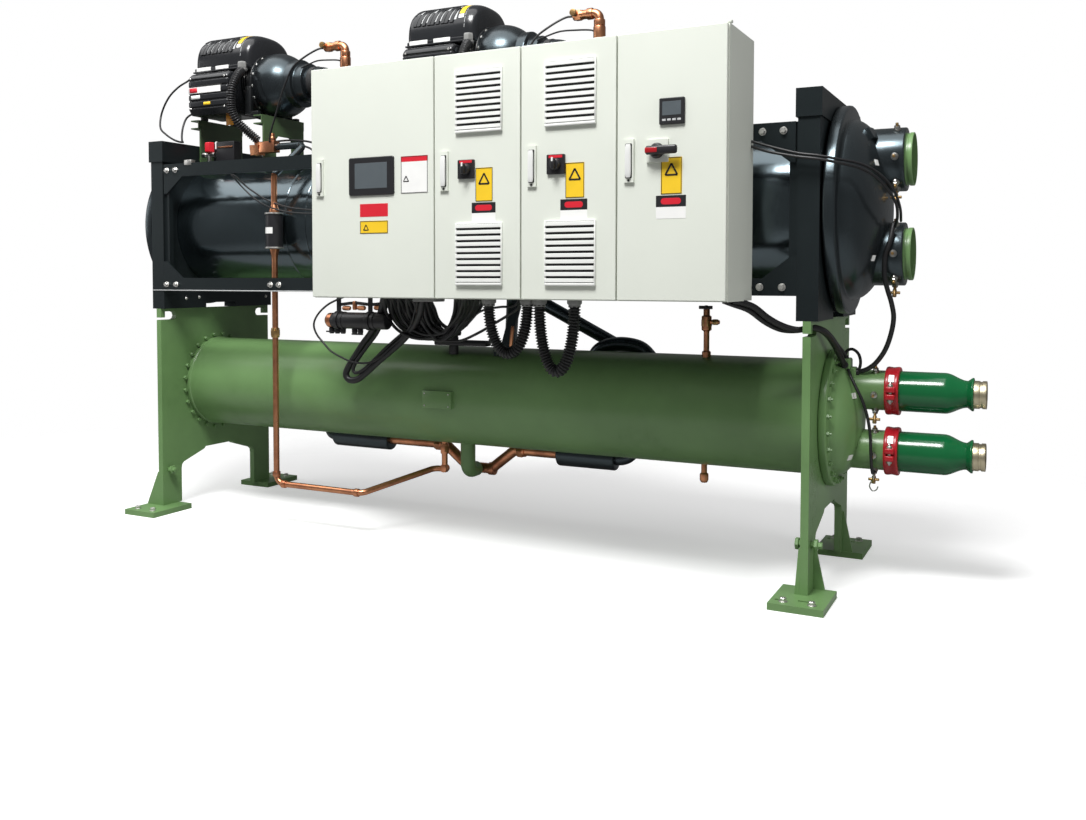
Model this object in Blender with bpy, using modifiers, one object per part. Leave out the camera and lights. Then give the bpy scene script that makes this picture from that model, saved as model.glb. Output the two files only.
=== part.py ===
"""Water-cooled chiller: a condenser shell below, an evaporator shell above, two compressors and a control cabinet.

X runs along the shells towards the water connections, Y from the cabinet to the back, Z up from the floor.
The origin is on the underside of the front left foot, below the front edge of the left end plate.
"""

import math

import bmesh
import bpy
from mathutils import Matrix, Vector

GAP = 0.0003  # between pieces that touch
FILL = 0.002  # how far shapes that become one solid reach into each other

# end frames
PLATE_SPAN = 3.5  # between the middles of the two end plates
FRAME_DEPTH = 0.88
END_PLATE_THICKNESS = 0.032
PLATE_RISE = 0.43  # from the condenser's middle to the end plates' top
LEG_WIDTH = 0.14
LEG_HEIGHT = 0.25  # floor to the foot of the arch between the legs
ARCH_RUN = 0.19
ARCH_RISE = 0.062
HOOK_WIDTH = 0.115
HOOK_HEIGHT = 0.046
HOOK_DROP = 0.016  # from the plate's top to the hook's slot
HOOK_LIP = 0.030
HOOK_MOUTH = 0.013
FOOT_LENGTH = 0.215
FOOT_WIDTH = 0.28
FOOT_THICKNESS = 0.028
FOOT_OVERHANG = 0.16  # in front of the end plate
GUSSET_HEIGHT = 0.185
GUSSET_THICKNESS = 0.012
LEFT_BRACES = ((-1, 0.088, 0.0),)  # side, reach along X, setback from the leg's outer edge
RIGHT_BRACES = ((-1, 0.020, 0.0), (1, 0.045, 0.105))
FOOT_SLOT = (0.045, 0.016)
FOOT_SLOT_PLACE = (0.018, 0.080)  # from the foot's middle and from its outer edge
FOOT_HOLE = 0.018
FOOT_HOLE_PLACE = (-0.083, 0.061)

# condenser
CONDENSER_DIAMETER = 0.50
CONDENSER_HEIGHT = 0.69
SHELL_WALL = 0.010
CONDENSER_FLANGE_LIP = 0.044
CONDENSER_FLANGE_THICKNESS = 0.034
CONDENSER_DISH_DEPTH = 0.105
CONDENSER_NOZZLE_DIAMETER = 0.168
CONDENSER_NOZZLE_SPREAD = 0.254
CONDENSER_NOZZLE_REACH = 0.272  # from the end plate's middle to the coupling's middle
PIPE_WALL = 0.007
COUPLING_WIDTH = 0.055
COUPLING_LIP = 0.018
REDUCER_STRAIGHT = 0.200
REDUCER_TAPER = 0.085
COLLAR_LENGTH = 0.024
COLLAR_LIP = 0.011
OUTLET_DIAMETER = 0.114
OUTLET_LENGTH = 0.047
BRACKET_CENTRE = 1.683
BRACKET_SIZE = (0.160, 0.085)
BRACKET_CLEAR = 0.018  # from the shell's front to the bracket's face
BRACKET_SHEET = 0.005
RELIEF_X = 2.975
RELIEF_SETBACK = 0.040  # in front of the shell's middle
RELIEF_STEPS = ((0.012, 0.130), (0.021, 0.195), (0.013, 0.240))  # radius, and top above the first one's foot
RELIEF_ARM = (0.009, 0.055, 0.070)  # radius, reach, and depth below the valve's top
DRAIN_X = 2.957
DRAIN = (0.012, 0.019, 0.085)  # radius, its cap's radius, and length

# evaporator
TUBE_SHEET_HEIGHT = 0.915
TUBE_SHEET_THICKNESS = 0.086
SHEET_NOTCH_WIDTH = 0.24
SHEET_NOTCH_HEIGHT = 0.028
POST_WIDTH = 0.033
POST_DEPTH = 0.030
CAP_HEIGHT = 0.112
CAP_LIP = 0.008
EVAPORATOR_DIAMETER = 0.68
EVAPORATOR_RING_DIAMETER = 0.878
EVAPORATOR_RING_THICKNESS = 0.048
EVAPORATOR_DISH_DIAMETER = 0.76
EVAPORATOR_DISH_DEPTH = 0.155
EVAPORATOR_NOZZLE_DIAMETER = 0.219
INSULATION = 0.022
EVAPORATOR_NOZZLE_SPREAD = 0.392
EVAPORATOR_NOZZLE_RISE = 0.009  # the connections' middle above the shell's
EVAPORATOR_NOZZLE_REACH = 0.300  # from the sheet's middle to the insulation's end
NOZZLE_END_LENGTH = 0.040
COVER_DISH_DEPTH = 0.12

# rails
RAIL_HEIGHT = 0.070
RAIL_THICKNESS = 0.012
RAIL_ABOVE = 0.330  # top of the upper rail above the evaporator's middle
RAIL_BELOW = 0.358  # bottom of the lower one below it
RAIL_GUSSET = 0.135
RAIL_GUSSET_DROP = 0.090

# cabinet
CABINET_LEFT = 1.353
CABINET_DROP = 0.0188  # its floor below the lower rail
CABINET_HEIGHT = 1.034
CABINET_DEPTH = 0.372
CABINET_WALL = 0.003
CABINET_FRAME = 0.030  # the rebate that the doors close on
DOOR_WIDTHS = (0.657, 0.414, 0.419, 0.438)
DOOR_THICKNESS = 0.022
DOOR_GAP = 0.0065
HANDLE_WIDTH = 0.040
HANDLE_HEIGHT = 0.165
HANDLE_INSET = 0.030
HANDLE_PROUD = 0.010
HANDLE_CENTRE = 0.542  # above the cabinet's bottom
LEVER_WIDTH = 0.024
LEVER_THICKNESS = 0.012
LEVER_LENGTH = 0.128
VENT_WIDTH = 0.222
VENT_HEIGHT = 0.262
VENT_LOW = 0.190  # vent middles above the cabinet's bottom
VENT_HIGH = 0.827
VENT_PROUD = 0.014
VENT_SLATS = 11
VENT_FRAME = 0.016
KNOB_PLATE = 0.075
KNOB_PLATE_PROUD = 0.010
KNOB_DIAMETER = 0.048
KNOB_DEPTH = 0.034
KNOB_HEIGHT = 0.545
SCREEN_WIDTH = 0.240
SCREEN_HEIGHT = 0.168
SCREEN_CENTRE = (0.335, 0.538)
SCREEN_PROUD = 0.008
METER_SIZE = 0.100
METER_CENTRE = (0.222, 0.722)
ISOLATOR_CENTRE = (0.165, 0.575)
ISOLATOR_SCALE = 1.25
METER_PROUD = 0.010

# compressors
COMPRESSOR_SPACING = 1.42
COMPRESSOR_LEFT = 0.030
COMPRESSOR_LENGTH = 0.41
MOTOR_DIAMETER = 0.33
HOOD_DIAMETER = 0.38
HOOD_RISE = 0.283  # shaft to the hood's top
HOOD_BASE = 0.100  # shaft to the hood's underside
HOOD_SQUARENESS = 2.7  # 2 is an ellipse, and more is squarer
RIM_LIP = 0.016
RIM_THICKNESS = 0.020
DRIVE_START = 0.042
DRIVE_LENGTH = 0.298
DRIVE_HEIGHT = 0.230
DRIVE_REACH = 0.280  # from the shaft to the drive's front
DRIVE_DROP = 0.172  # from the shaft to the drive's underside
DRIVE_CORNER = 0.035
SUCTION_DIAMETER = 0.355
SUCTION_RING = (0.13, 0.045)  # radius and length of the collar after the dome
SUCTION_NECK = (0.105, 0.055)
SUCTION_PIPE = 0.165
SUCTION_SETBACK = 0.065  # the dome's middle from the compressor's end
SUCTION_DROP = 0.40  # from the dome's middle to the pipe that turns down
SUPPORT_RISE = 0.265  # from the evaporator's top to the beams' top
SUPPORT_SPACING = 0.46
SUPPORT_WIDTH = 0.36
CHANNEL_HEIGHT = 0.050
CHANNEL_WIDTH = 0.060
CHANNEL_WALL = 0.007
SUPPORT_PLATE = 0.012
SUPPORT_PLATE_SHIFT = 0.030  # the arched plate's middle from the beam's
SUPPORT_LEG = 0.10
SUPPORT_BAND = 0.055
TIE_HEIGHT = 0.050
TIE_OFFSET = 0.12  # from the shaft's line to the low ties

# pipework
LIQUID_PIPE = 0.035
LIQUID_X = 0.777
LIQUID_CLEAR = 0.003  # between the filter and the shell
LIQUID_ELBOW = 0.19  # from the evaporator's middle up to the elbow over the filter
LIQUID_RUN = 0.42  # from the evaporator's middle up to the run along the beam
LIQUID_RUN_Y = 0.19  # in front of the shell's middle
LIQUID_DROP = 0.225  # below the condenser's bottom
LIQUID_TURN_X = 1.32
LIQUID_END_X = 1.57
BLOCK_SIZE = (0.105, 0.055, 0.060)
FILTER_DIAMETER = 0.090
FILTER_LENGTH = 0.155
FILTER_DROP = 0.023  # the filter's middle below the evaporator's
RISER_PIPE = 0.042
RISER_OFFSET = 0.585  # from the suction dome's middle
RISER_SETBACK = 0.19  # in front of the shell's middle
RISER_RISE = 0.18  # from the shaft to the riser's top
RISER_RUN = 0.12
RISER_BEND = 0.030
RISER_VALVE = (0.060, 0.070)  # diameter and length
OUTLET_PIPE = 0.076
OUTLET_X = 1.71
OUTLET_DROP = 0.145
MANIFOLD_PIPE = 0.054
MANIFOLD_SETBACK = 0.125  # behind the shells' middle
MANIFOLD_DROP = 0.035
MANIFOLD_SLOPE = 0.14
FEED_PIPE = 0.066
FEED_SHELL = 0.10
FEED_LEFT = (1.16, 0.79, 1.77, 1.90)  # the shell's two ends, the rise and the inlet along X
FEED_RIGHT = (2.17, 2.48, 2.44, 2.04)
FEED_CLEAR = 0.11  # behind the condenser
CONDUIT_DIAMETER = 0.054
CONDUIT_SETBACK = 0.15
CONDUIT_LOOPS = ((2.25, 0.19, 0.24), (2.485, 0.165, 0.31))  # middle along X, span and drop

MIDDLE_Y = FRAME_DEPTH / 2
END_PLATE_HEIGHT = CONDENSER_HEIGHT + PLATE_RISE
CONDENSER_BOTTOM = CONDENSER_HEIGHT - CONDENSER_DIAMETER / 2
EVAPORATOR_HEIGHT = END_PLATE_HEIGHT + GAP + TUBE_SHEET_HEIGHT / 2
RAIL_TOP = EVAPORATOR_HEIGHT + RAIL_ABOVE
RAIL_BOTTOM = EVAPORATOR_HEIGHT - RAIL_BELOW
CABINET_BOTTOM = RAIL_BOTTOM - CABINET_DROP
SUPPORT_TOP = EVAPORATOR_HEIGHT + EVAPORATOR_DIAMETER / 2 + SUPPORT_RISE
COMPRESSOR_HEIGHT = SUPPORT_TOP + SUCTION_DIAMETER / 2 + 0.002  # floor to the shaft
END_FACE = END_PLATE_THICKNESS / 2  # from the end plate's middle to its face
SHEET_FACE = TUBE_SHEET_THICKNESS / 2
LIQUID_Y = MIDDLE_Y - EVAPORATOR_DIAMETER / 2 - LIQUID_CLEAR - FILTER_DIAMETER / 2
FILTER_CENTRE = EVAPORATOR_HEIGHT - FILTER_DROP
CABINET_WIDTH = sum(DOOR_WIDTHS)
CABINET_FRONT = -GAP - CABINET_DEPTH + DOOR_THICKNESS + GAP  # the face that the doors close on
DOOR_FACE = CABINET_FRONT - GAP - DOOR_THICKNESS


def clear_scene():
    for obj in list(bpy.data.objects):
        bpy.data.objects.remove(obj)


def collection(name):
    made = bpy.data.collections.new(name)
    bpy.context.scene.collection.children.link(made)
    return made


def material(name, colour, roughness, metallic=0.0):
    made = bpy.data.materials.new(name)
    made.use_nodes = True
    shader = made.node_tree.nodes["Principled BSDF"]
    shader.inputs["Base Color"].default_value = (*colour, 1)
    shader.inputs["Roughness"].default_value = roughness
    shader.inputs["Metallic"].default_value = metallic
    made.diffuse_color = (*colour, 1)
    return made


clear_scene()
PARTS = collection("water_cooled_chiller")
CUTTERS = collection("cutters")
GREEN = material("green_paint", (0.10, 0.22, 0.08), 0.4)
DARK_GREEN = material("dark_green_enamel", (0.01, 0.10, 0.03), 0.2)
BLACK = material("black_insulation", (0.02, 0.023, 0.025), 0.5)
STEEL_BLACK = material("black_paint", (0.015, 0.016, 0.017), 0.45)
CASTING = material("black_casting", (0.012, 0.012, 0.013), 0.35)
CABINET_PAINT = material("cabinet_paint", (0.74, 0.76, 0.72), 0.45)
ZINC = material("zinc", (0.75, 0.74, 0.72), 0.35, 1.0)
PLASTIC = material("black_plastic", (0.02, 0.02, 0.022), 0.4)
CHROME = material("satin_chrome", (0.72, 0.72, 0.72), 0.25, 1.0)
RED = material("red_enamel", (0.45, 0.02, 0.02), 0.35)
COPPER = material("copper", (0.72, 0.32, 0.17), 0.35, 1.0)
RUBBER = material("black_rubber", (0.02, 0.02, 0.02), 0.6)
GLASS = material("screen", (0.03, 0.05, 0.07), 0.12)


def link(obj, home, paint=None):
    for other in list(obj.users_collection):
        other.objects.unlink(obj)
    home.objects.link(obj)
    if paint:
        obj.data.materials.clear()
        obj.data.materials.append(paint)
    if home is CUTTERS:
        obj.hide_render = True
        obj.display_type = "WIRE"
    return obj


def mesh_object(name, mesh, home=None, paint=None):
    return link(bpy.data.objects.new(name, mesh), home or PARTS, paint)


def box(name, low, high, paint=None, home=None, bevel=0.0, segments=2):
    mesh = bpy.data.meshes.new(name)
    shape = bmesh.new()
    size = [b - a for a, b in zip(low, high)]
    bmesh.ops.create_cube(shape, size=1, matrix=Matrix.Diagonal((*size, 1)))
    shape.to_mesh(mesh)
    shape.free()
    obj = mesh_object(name, mesh, home, paint)
    obj.location = [(a + b) / 2 for a, b in zip(low, high)]
    if bevel:
        edge = obj.modifiers.new("rounded_edges", "BEVEL")
        edge.width = bevel
        edge.segments = segments
    return obj


def turning(direction):
    """The rotation that takes +Z to a direction."""
    return Vector(direction).to_track_quat("Z", "Y").to_euler()


def cylinder(name, radius, start, end, paint=None, home=None, sides=32, end_radius=None):
    start, end = Vector(start), Vector(end)
    mesh = bpy.data.meshes.new(name)
    shape = bmesh.new()
    tip = radius if end_radius is None else end_radius
    bmesh.ops.create_cone(shape, cap_ends=True, segments=sides, radius1=radius, radius2=tip, depth=(end - start).length)
    shape.to_mesh(mesh)
    shape.free()
    obj = mesh_object(name, mesh, home, paint)
    obj.location = (start + end) / 2
    obj.rotation_euler = turning(end - start)
    return obj


def turned(name, profile, start, direction, paint=None, home=None, steps=48):
    """Profile points are (radius, distance along the direction), from the far end down the outer side."""
    mesh = bpy.data.meshes.new(name)
    shape = bmesh.new()
    points = [shape.verts.new((radius, 0, along)) for radius, along in profile]
    closed = min(radius for radius, _ in profile) > 0
    ends = points + points[:1] if closed else points
    for a, b in zip(ends, ends[1:]):
        shape.edges.new((a, b))
    shape.to_mesh(mesh)
    shape.free()
    obj = mesh_object(name, mesh, home, paint)
    obj.location = start
    obj.rotation_euler = turning(direction)
    screw = obj.modifiers.new("turned", "SCREW")
    screw.steps = screw.render_steps = steps
    screw.use_merge_vertices = True
    screw.merge_threshold = 0.00001
    return obj


def rounded(points, radius, steps=4):
    """The points of a path with its inner corners rounded."""
    path = [Vector(points[0])]
    for before, corner, after in zip(points, points[1:], points[2:]):
        before, corner, after = Vector(before), Vector(corner), Vector(after)
        one, two = (before - corner).normalized(), (after - corner).normalized()
        half = one.angle(two) / 2
        reach = min(radius / math.tan(half), 0.49 * (before - corner).length, 0.49 * (after - corner).length)
        bend = reach * math.tan(half)
        centre = corner + (one + two).normalized() * (bend / math.sin(half))
        first, last = corner + one * reach - centre, corner + two * reach - centre
        turn = first.angle(last)
        for i in range(steps + 1):
            part = i / steps
            path.append(
                centre + (first * math.sin((1 - part) * turn) + last * math.sin(part * turn)) / math.sin(turn)
            )
    path.append(Vector(points[-1]))
    return path


def pipe(name, points, diameter, paint=None, home=None, bend=None, resolution=3, steps=4):
    curve = bpy.data.curves.new(name, "CURVE")
    curve.dimensions = "3D"
    curve.bevel_depth = diameter / 2
    curve.bevel_resolution = resolution
    curve.use_fill_caps = True
    path = rounded(points, bend, steps) if bend else [Vector(point) for point in points]
    line = curve.splines.new("POLY")
    line.points.add(len(path) - 1)
    for point, place in zip(line.points, path):
        point.co = (*place, 1)
    obj = bpy.data.objects.new(name, curve)
    return link(obj, home or PARTS, paint)


def as_mesh(obj):
    """The object with its curve made a closed mesh."""
    graph = bpy.context.evaluated_depsgraph_get()
    graph.update()
    mesh = bpy.data.meshes.new_from_object(obj.evaluated_get(graph))
    shape = bmesh.new()
    shape.from_mesh(mesh)
    bmesh.ops.remove_doubles(shape, verts=shape.verts, dist=0.00001)
    bmesh.ops.recalc_face_normals(shape, faces=shape.faces)
    shape.to_mesh(mesh)
    shape.free()
    name, home, matrix = obj.name, obj.users_collection[0], obj.matrix_world.copy()
    bpy.data.objects.remove(obj)
    made = mesh_object(name, mesh, home)
    made.name = name
    made.matrix_world = matrix
    return made


def outline(name, points, thickness, plane, place, paint=None, home=None, holes=()):
    """A flat plate. Points are in the plane's two axes, and place is its middle along the third."""
    curve = bpy.data.curves.new(name, "CURVE")
    curve.dimensions = "2D"
    curve.fill_mode = "BOTH"
    curve.extrude = thickness / 2
    for loop in (points, *holes):
        line = curve.splines.new("POLY")
        line.points.add(len(loop) - 1)
        for point, (x, y) in zip(line.points, loop):
            point.co = (x, y, 0, 1)
        line.use_cyclic_u = True
    obj = link(bpy.data.objects.new(name, curve), home or PARTS, paint)
    turns = {
        "YZ": Matrix(((0, 0, 1, place), (1, 0, 0, 0), (0, 1, 0, 0), (0, 0, 0, 1))),
        "XZ": Matrix(((1, 0, 0, 0), (0, 0, -1, place), (0, 1, 0, 0), (0, 0, 0, 1))),
        "XY": Matrix(((1, 0, 0, 0), (0, 1, 0, 0), (0, 0, 1, place), (0, 0, 0, 1))),
    }
    obj.matrix_world = turns[plane]
    return as_mesh(obj)


def boolean(obj, other, operation):
    change = obj.modifiers.new(operation.lower(), "BOOLEAN")
    change.operation = operation
    change.object = link(other, CUTTERS)
    return obj


def cut(obj, *tools):
    for tool in tools:
        boolean(obj, tool, "DIFFERENCE")
    return obj


def join(obj, *others):
    for other in others:
        boolean(obj, other, "UNION")
    return obj


def smooth(obj, angle=35):
    if obj.type == "MESH":
        obj.data.shade_smooth()
        obj.data.set_sharp_from_angle(angle=math.radians(angle))
    return obj


def end_plate_outline():
    """Front to back, with a leg at each end, an arch between them and a hook slot under each top corner."""
    leg, low, top = LEG_WIDTH, FOOT_THICKNESS + GAP, END_PLATE_HEIGHT
    high = top - HOOK_DROP
    floor = high - HOOK_HEIGHT
    radius = HOOK_HEIGHT / 2
    bend = [
        (HOOK_WIDTH - radius + radius * math.cos(turn), floor + radius + radius * math.sin(turn))
        for turn in (math.radians(angle) for angle in (-90, -45, 0, 45, 90))
    ]
    half = [(0, low), (0, floor), *bend, (HOOK_LIP, high), (HOOK_LIP, floor + HOOK_MOUTH), (0, floor + HOOK_MOUTH), (0, top)]
    arch = [
        (leg + ARCH_RUN, LEG_HEIGHT + ARCH_RISE),
        (leg + ARCH_RUN - 0.011, LEG_HEIGHT + ARCH_RISE - 0.012),
        (leg + 0.020, LEG_HEIGHT),
        (leg + 0.005, LEG_HEIGHT - 0.012),
        (leg, LEG_HEIGHT - 0.035),
        (leg, low),
    ]
    mirrored = [(FRAME_DEPTH - y, z) for y, z in reversed(half)]
    back_arch = [(FRAME_DEPTH - y, z) for y, z in reversed(arch)]
    return half + mirrored + back_arch + arch


def end_plate(name, x):
    return outline(name, end_plate_outline(), END_PLATE_THICKNESS, "YZ", x, GREEN)


def foot(name, x, front, braces):
    """A foot plate with a slot, a hole and gussets beside the leg; front says which end of the frame it carries."""

    def inward(distance):
        return distance if front else FRAME_DEPTH - distance

    edges = sorted((inward(-FOOT_OVERHANG), inward(FOOT_WIDTH - FOOT_OVERHANG)))
    base = box(name, (x - FOOT_LENGTH / 2, edges[0], 0), (x + FOOT_LENGTH / 2, edges[1], FOOT_THICKNESS), GREEN)
    for side, reach, setback in braces:
        near = x + side * (END_FACE + GAP)
        points = [
            (near, FOOT_THICKNESS - FILL),
            (near, FOOT_THICKNESS + GUSSET_HEIGHT),
            (near + side * 0.006, FOOT_THICKNESS + GUSSET_HEIGHT),
            (near + side * reach, FOOT_THICKNESS + 0.004),
            (near + side * reach, FOOT_THICKNESS - FILL),
        ]
        join(base, outline(f"{name}_gusset", points, GUSSET_THICKNESS, "XZ", inward(setback + GUSSET_THICKNESS / 2)))
    middle, place = x + FOOT_SLOT_PLACE[0], inward(FOOT_SLOT_PLACE[1] - FOOT_OVERHANG)
    slot = box(
        f"{name}_slot",
        (middle - FOOT_SLOT[0] / 2, place - FOOT_SLOT[1] / 2, -0.01),
        (middle + FOOT_SLOT[0] / 2, place + FOOT_SLOT[1] / 2, FOOT_THICKNESS + 0.01),
    )
    middle, place = x + FOOT_HOLE_PLACE[0], inward(FOOT_HOLE_PLACE[1] - FOOT_OVERHANG)
    hole = cylinder(f"{name}_hole", FOOT_HOLE / 2, (middle, place, -0.01), (middle, place, FOOT_THICKNESS + 0.01), sides=12)
    return cut(base, slot, hole)


def shell(name, diameter, height, start, end, paint, steps=48):
    """A tube along X between two faces."""
    radius = diameter / 2
    profile = [
        (radius, end - start),
        (radius, 0),
        (radius - SHELL_WALL, 0),
        (radius - SHELL_WALL, end - start),
    ]
    return smooth(turned(name, profile, (start, MIDDLE_Y, height), (1, 0, 0), paint, steps=steps))


def dish_profile(ring_radius, ring, dish_radius, depth, wall, count=6):
    """A flange ring with a shallow elliptical dish; the back is open, or closed where there is no wall."""
    outside = []
    inside = []
    for i in range(count):
        turn = math.pi / 2 * i / (count - 1)
        outside.append((dish_radius * math.sin(turn), ring + depth * math.cos(turn)))
        inner = dish_radius - wall
        inside.append((inner * math.sin(turn), ring + (depth - wall) * math.cos(turn)))
    outside[0] = (0, ring + depth)
    inside[0] = (0, ring + depth - wall)
    if not wall:
        return outside + [(ring_radius, ring), (ring_radius, 0), (0, 0)]
    return (
        outside
        + [(ring_radius, ring), (ring_radius, 0), (dish_radius - wall, 0)]
        + list(reversed(inside))
    )


def dished_head(name, face, direction, height, ring_radius, ring, dish_radius, depth, paint, nozzles=()):
    """A bolted head on a plate's face, hollow where it has nozzles: the (height, bore) of its connections."""
    profile = dish_profile(ring_radius, ring, dish_radius, depth, SHELL_WALL if nozzles else 0)
    head = turned(name, profile, (face, MIDDLE_Y, height), (direction, 0, 0), paint, steps=32)
    for place, bore in nozzles:
        hole = cylinder(
            f"{name}_hole",
            bore / 2,
            (face, MIDDLE_Y, place),
            (face + direction * (ring + depth + 0.1), MIDDLE_Y, place),
            sides=24,
        )
        cut(head, hole)
    return smooth(head)


def nozzle(name, place, outer, wall, start, end, head, paint):
    """A stub pipe that runs into the dish's outer face. head is (face, ring, radius, depth, height)."""
    face, ring, radius, depth, height = head
    profile = [
        (outer / 2, end - start),
        (outer / 2, 0),
        (outer / 2 - wall, 0),
        (outer / 2 - wall, end - start),
    ]
    made = turned(name, profile, (start, MIDDLE_Y, place), (1, 0, 0), paint, steps=24)
    grown = dish_profile(radius + 0.05, ring + GAP, radius + GAP, depth, SHELL_WALL)
    solid = [point for point in grown if point[1] >= ring][:6] + [(radius + 0.05, ring + GAP), (radius + 0.05, -0.02), (0, -0.02)]
    tool = turned(f"{name}_seat", solid, (face, MIDDLE_Y, height), (1, 0, 0), steps=32)
    return smooth(cut(made, tool))


def condenser():
    shell(
        "condenser_shell",
        CONDENSER_DIAMETER,
        CONDENSER_HEIGHT,
        END_FACE + GAP,
        PLATE_SPAN - END_FACE - GAP,
        GREEN,
    )
    condenser_fittings()
    ring_radius = CONDENSER_DIAMETER / 2 + CONDENSER_FLANGE_LIP
    dish_radius = CONDENSER_DIAMETER / 2 - 0.005
    dished_head(
        "condenser_cover_left",
        -END_FACE - GAP,
        -1,
        CONDENSER_HEIGHT,
        ring_radius,
        CONDENSER_FLANGE_THICKNESS,
        dish_radius,
        CONDENSER_DISH_DEPTH,
        GREEN,
    )
    places = [CONDENSER_HEIGHT + side * CONDENSER_NOZZLE_SPREAD / 2 for side in (1, -1)]
    face = PLATE_SPAN + END_FACE + GAP
    dished_head(
        "condenser_water_box",
        face,
        1,
        CONDENSER_HEIGHT,
        ring_radius,
        CONDENSER_FLANGE_THICKNESS,
        dish_radius,
        CONDENSER_DISH_DEPTH,
        GREEN,
        [(place, CONDENSER_NOZZLE_DIAMETER - 2 * PIPE_WALL) for place in places],
    )
    head = (face, CONDENSER_FLANGE_THICKNESS, dish_radius, CONDENSER_DISH_DEPTH, CONDENSER_HEIGHT)
    joint = PLATE_SPAN + CONDENSER_NOZZLE_REACH
    for label, place in zip(("upper", "lower"), places):
        nozzle(
            f"condenser_nozzle_{label}",
            place,
            CONDENSER_NOZZLE_DIAMETER,
            PIPE_WALL,
            face + CONDENSER_FLANGE_THICKNESS + 0.01,
            joint - GAP,
            head,
            GREEN,
        )
        coupling(f"coupling_{label}", place, joint)
        reducer(f"reducer_{label}", place, joint + GAP)


def condenser_fittings():
    """The bracket for a rating plate, the relief valve on the shell and the drain under it."""
    whole = bpy.data.objects["condenser_shell"]
    x, width, height = BRACKET_CENTRE, *BRACKET_SIZE
    skin = MIDDLE_Y - CONDENSER_DIAMETER / 2
    low, high = CONDENSER_HEIGHT - height / 2, CONDENSER_HEIGHT + height / 2
    face = skin - BRACKET_CLEAR
    join(whole, box("bracket_plate", (x - width / 2, face, low), (x + width / 2, face + BRACKET_SHEET, high)))
    for side in (-1, 1):
        near, far = sorted((x + side * (width / 2), x + side * (width / 2 - BRACKET_SHEET)))
        join(whole, box("bracket_side", (near, face + BRACKET_SHEET / 2, low), (far, skin + PIPE_WALL - 0.0008, high)))
    y = MIDDLE_Y - RELIEF_SETBACK
    base = CONDENSER_HEIGHT + CONDENSER_DIAMETER / 2 - 0.02
    start = base
    for radius, rise in RELIEF_STEPS:
        stop = base + rise
        join(whole, cylinder("relief_step", radius, (RELIEF_X, y, start - FILL), (RELIEF_X, y, stop), sides=16))
        start = stop
    arm = start - RELIEF_ARM[2]
    join(whole, cylinder("relief_arm", RELIEF_ARM[0], (RELIEF_X, y, arm), (RELIEF_X + RELIEF_ARM[1], y, arm), sides=12))
    drain = CONDENSER_BOTTOM + PIPE_WALL
    for radius, fall, top in ((DRAIN[0], DRAIN[2], 0), (DRAIN[1], DRAIN[2] + 0.012, DRAIN[2] - 0.03)):
        ends = (DRAIN_X, MIDDLE_Y, drain - top), (DRAIN_X, MIDDLE_Y, drain - fall)
        join(whole, cylinder("drain_step", radius, *ends, sides=16))


def coupling(name, height, middle):
    """A grooved coupling: a clamp in two halves with a bolt pad on each side."""
    bore = CONDENSER_NOZZLE_DIAMETER / 2 + GAP
    out = CONDENSER_NOZZLE_DIAMETER / 2 + COUPLING_LIP
    half = COUPLING_WIDTH / 2
    profile = [
        (out - 0.004, 2 * half),
        (out, 2 * half - 0.006),
        (out, 0.006),
        (out - 0.004, 0),
        (bore, 0),
        (bore, 2 * half),
    ]
    ring = turned(name, profile, (middle - half, MIDDLE_Y, height), (1, 0, 0), RED, steps=24)
    for side in (-1, 1):
        near = MIDDLE_Y + side * (bore + 0.006)
        far = MIDDLE_Y + side * (out + 0.028)
        pad = box(
            f"{name}_pad",
            (middle - half + 0.009, min(near, far), height - 0.026),
            (middle + half - 0.009, max(near, far), height + 0.026),
        )
        join(ring, pad)
    return smooth(ring)


def reducer(name, height, start):
    """A tapered pipe from the condenser's size to the smaller grooved end, with a flared collar between."""
    big = CONDENSER_NOZZLE_DIAMETER / 2
    small = OUTLET_DIAMETER / 2
    straight = REDUCER_STRAIGHT
    taper = straight + REDUCER_TAPER
    lip = taper + COLLAR_LENGTH
    end = lip + OUTLET_LENGTH
    groove = end - 0.016
    profile = [
        (small, end),
        (small, groove),
        (small - 0.003, groove),
        (small - 0.003, groove - 0.010),
        (small, groove - 0.010),
        (small, lip),
        (small + COLLAR_LIP, lip),
        (small + COLLAR_LIP, lip - 0.006),
        (small - 0.002, taper),
        (big, straight),
        (big, 0),
        (big - PIPE_WALL, 0),
        (big - PIPE_WALL, straight),
        (small - PIPE_WALL, taper),
        (small - PIPE_WALL, end),
    ]
    return smooth(turned(name, profile, (start, MIDDLE_Y, height), (1, 0, 0), DARK_GREEN, steps=24))


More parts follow.
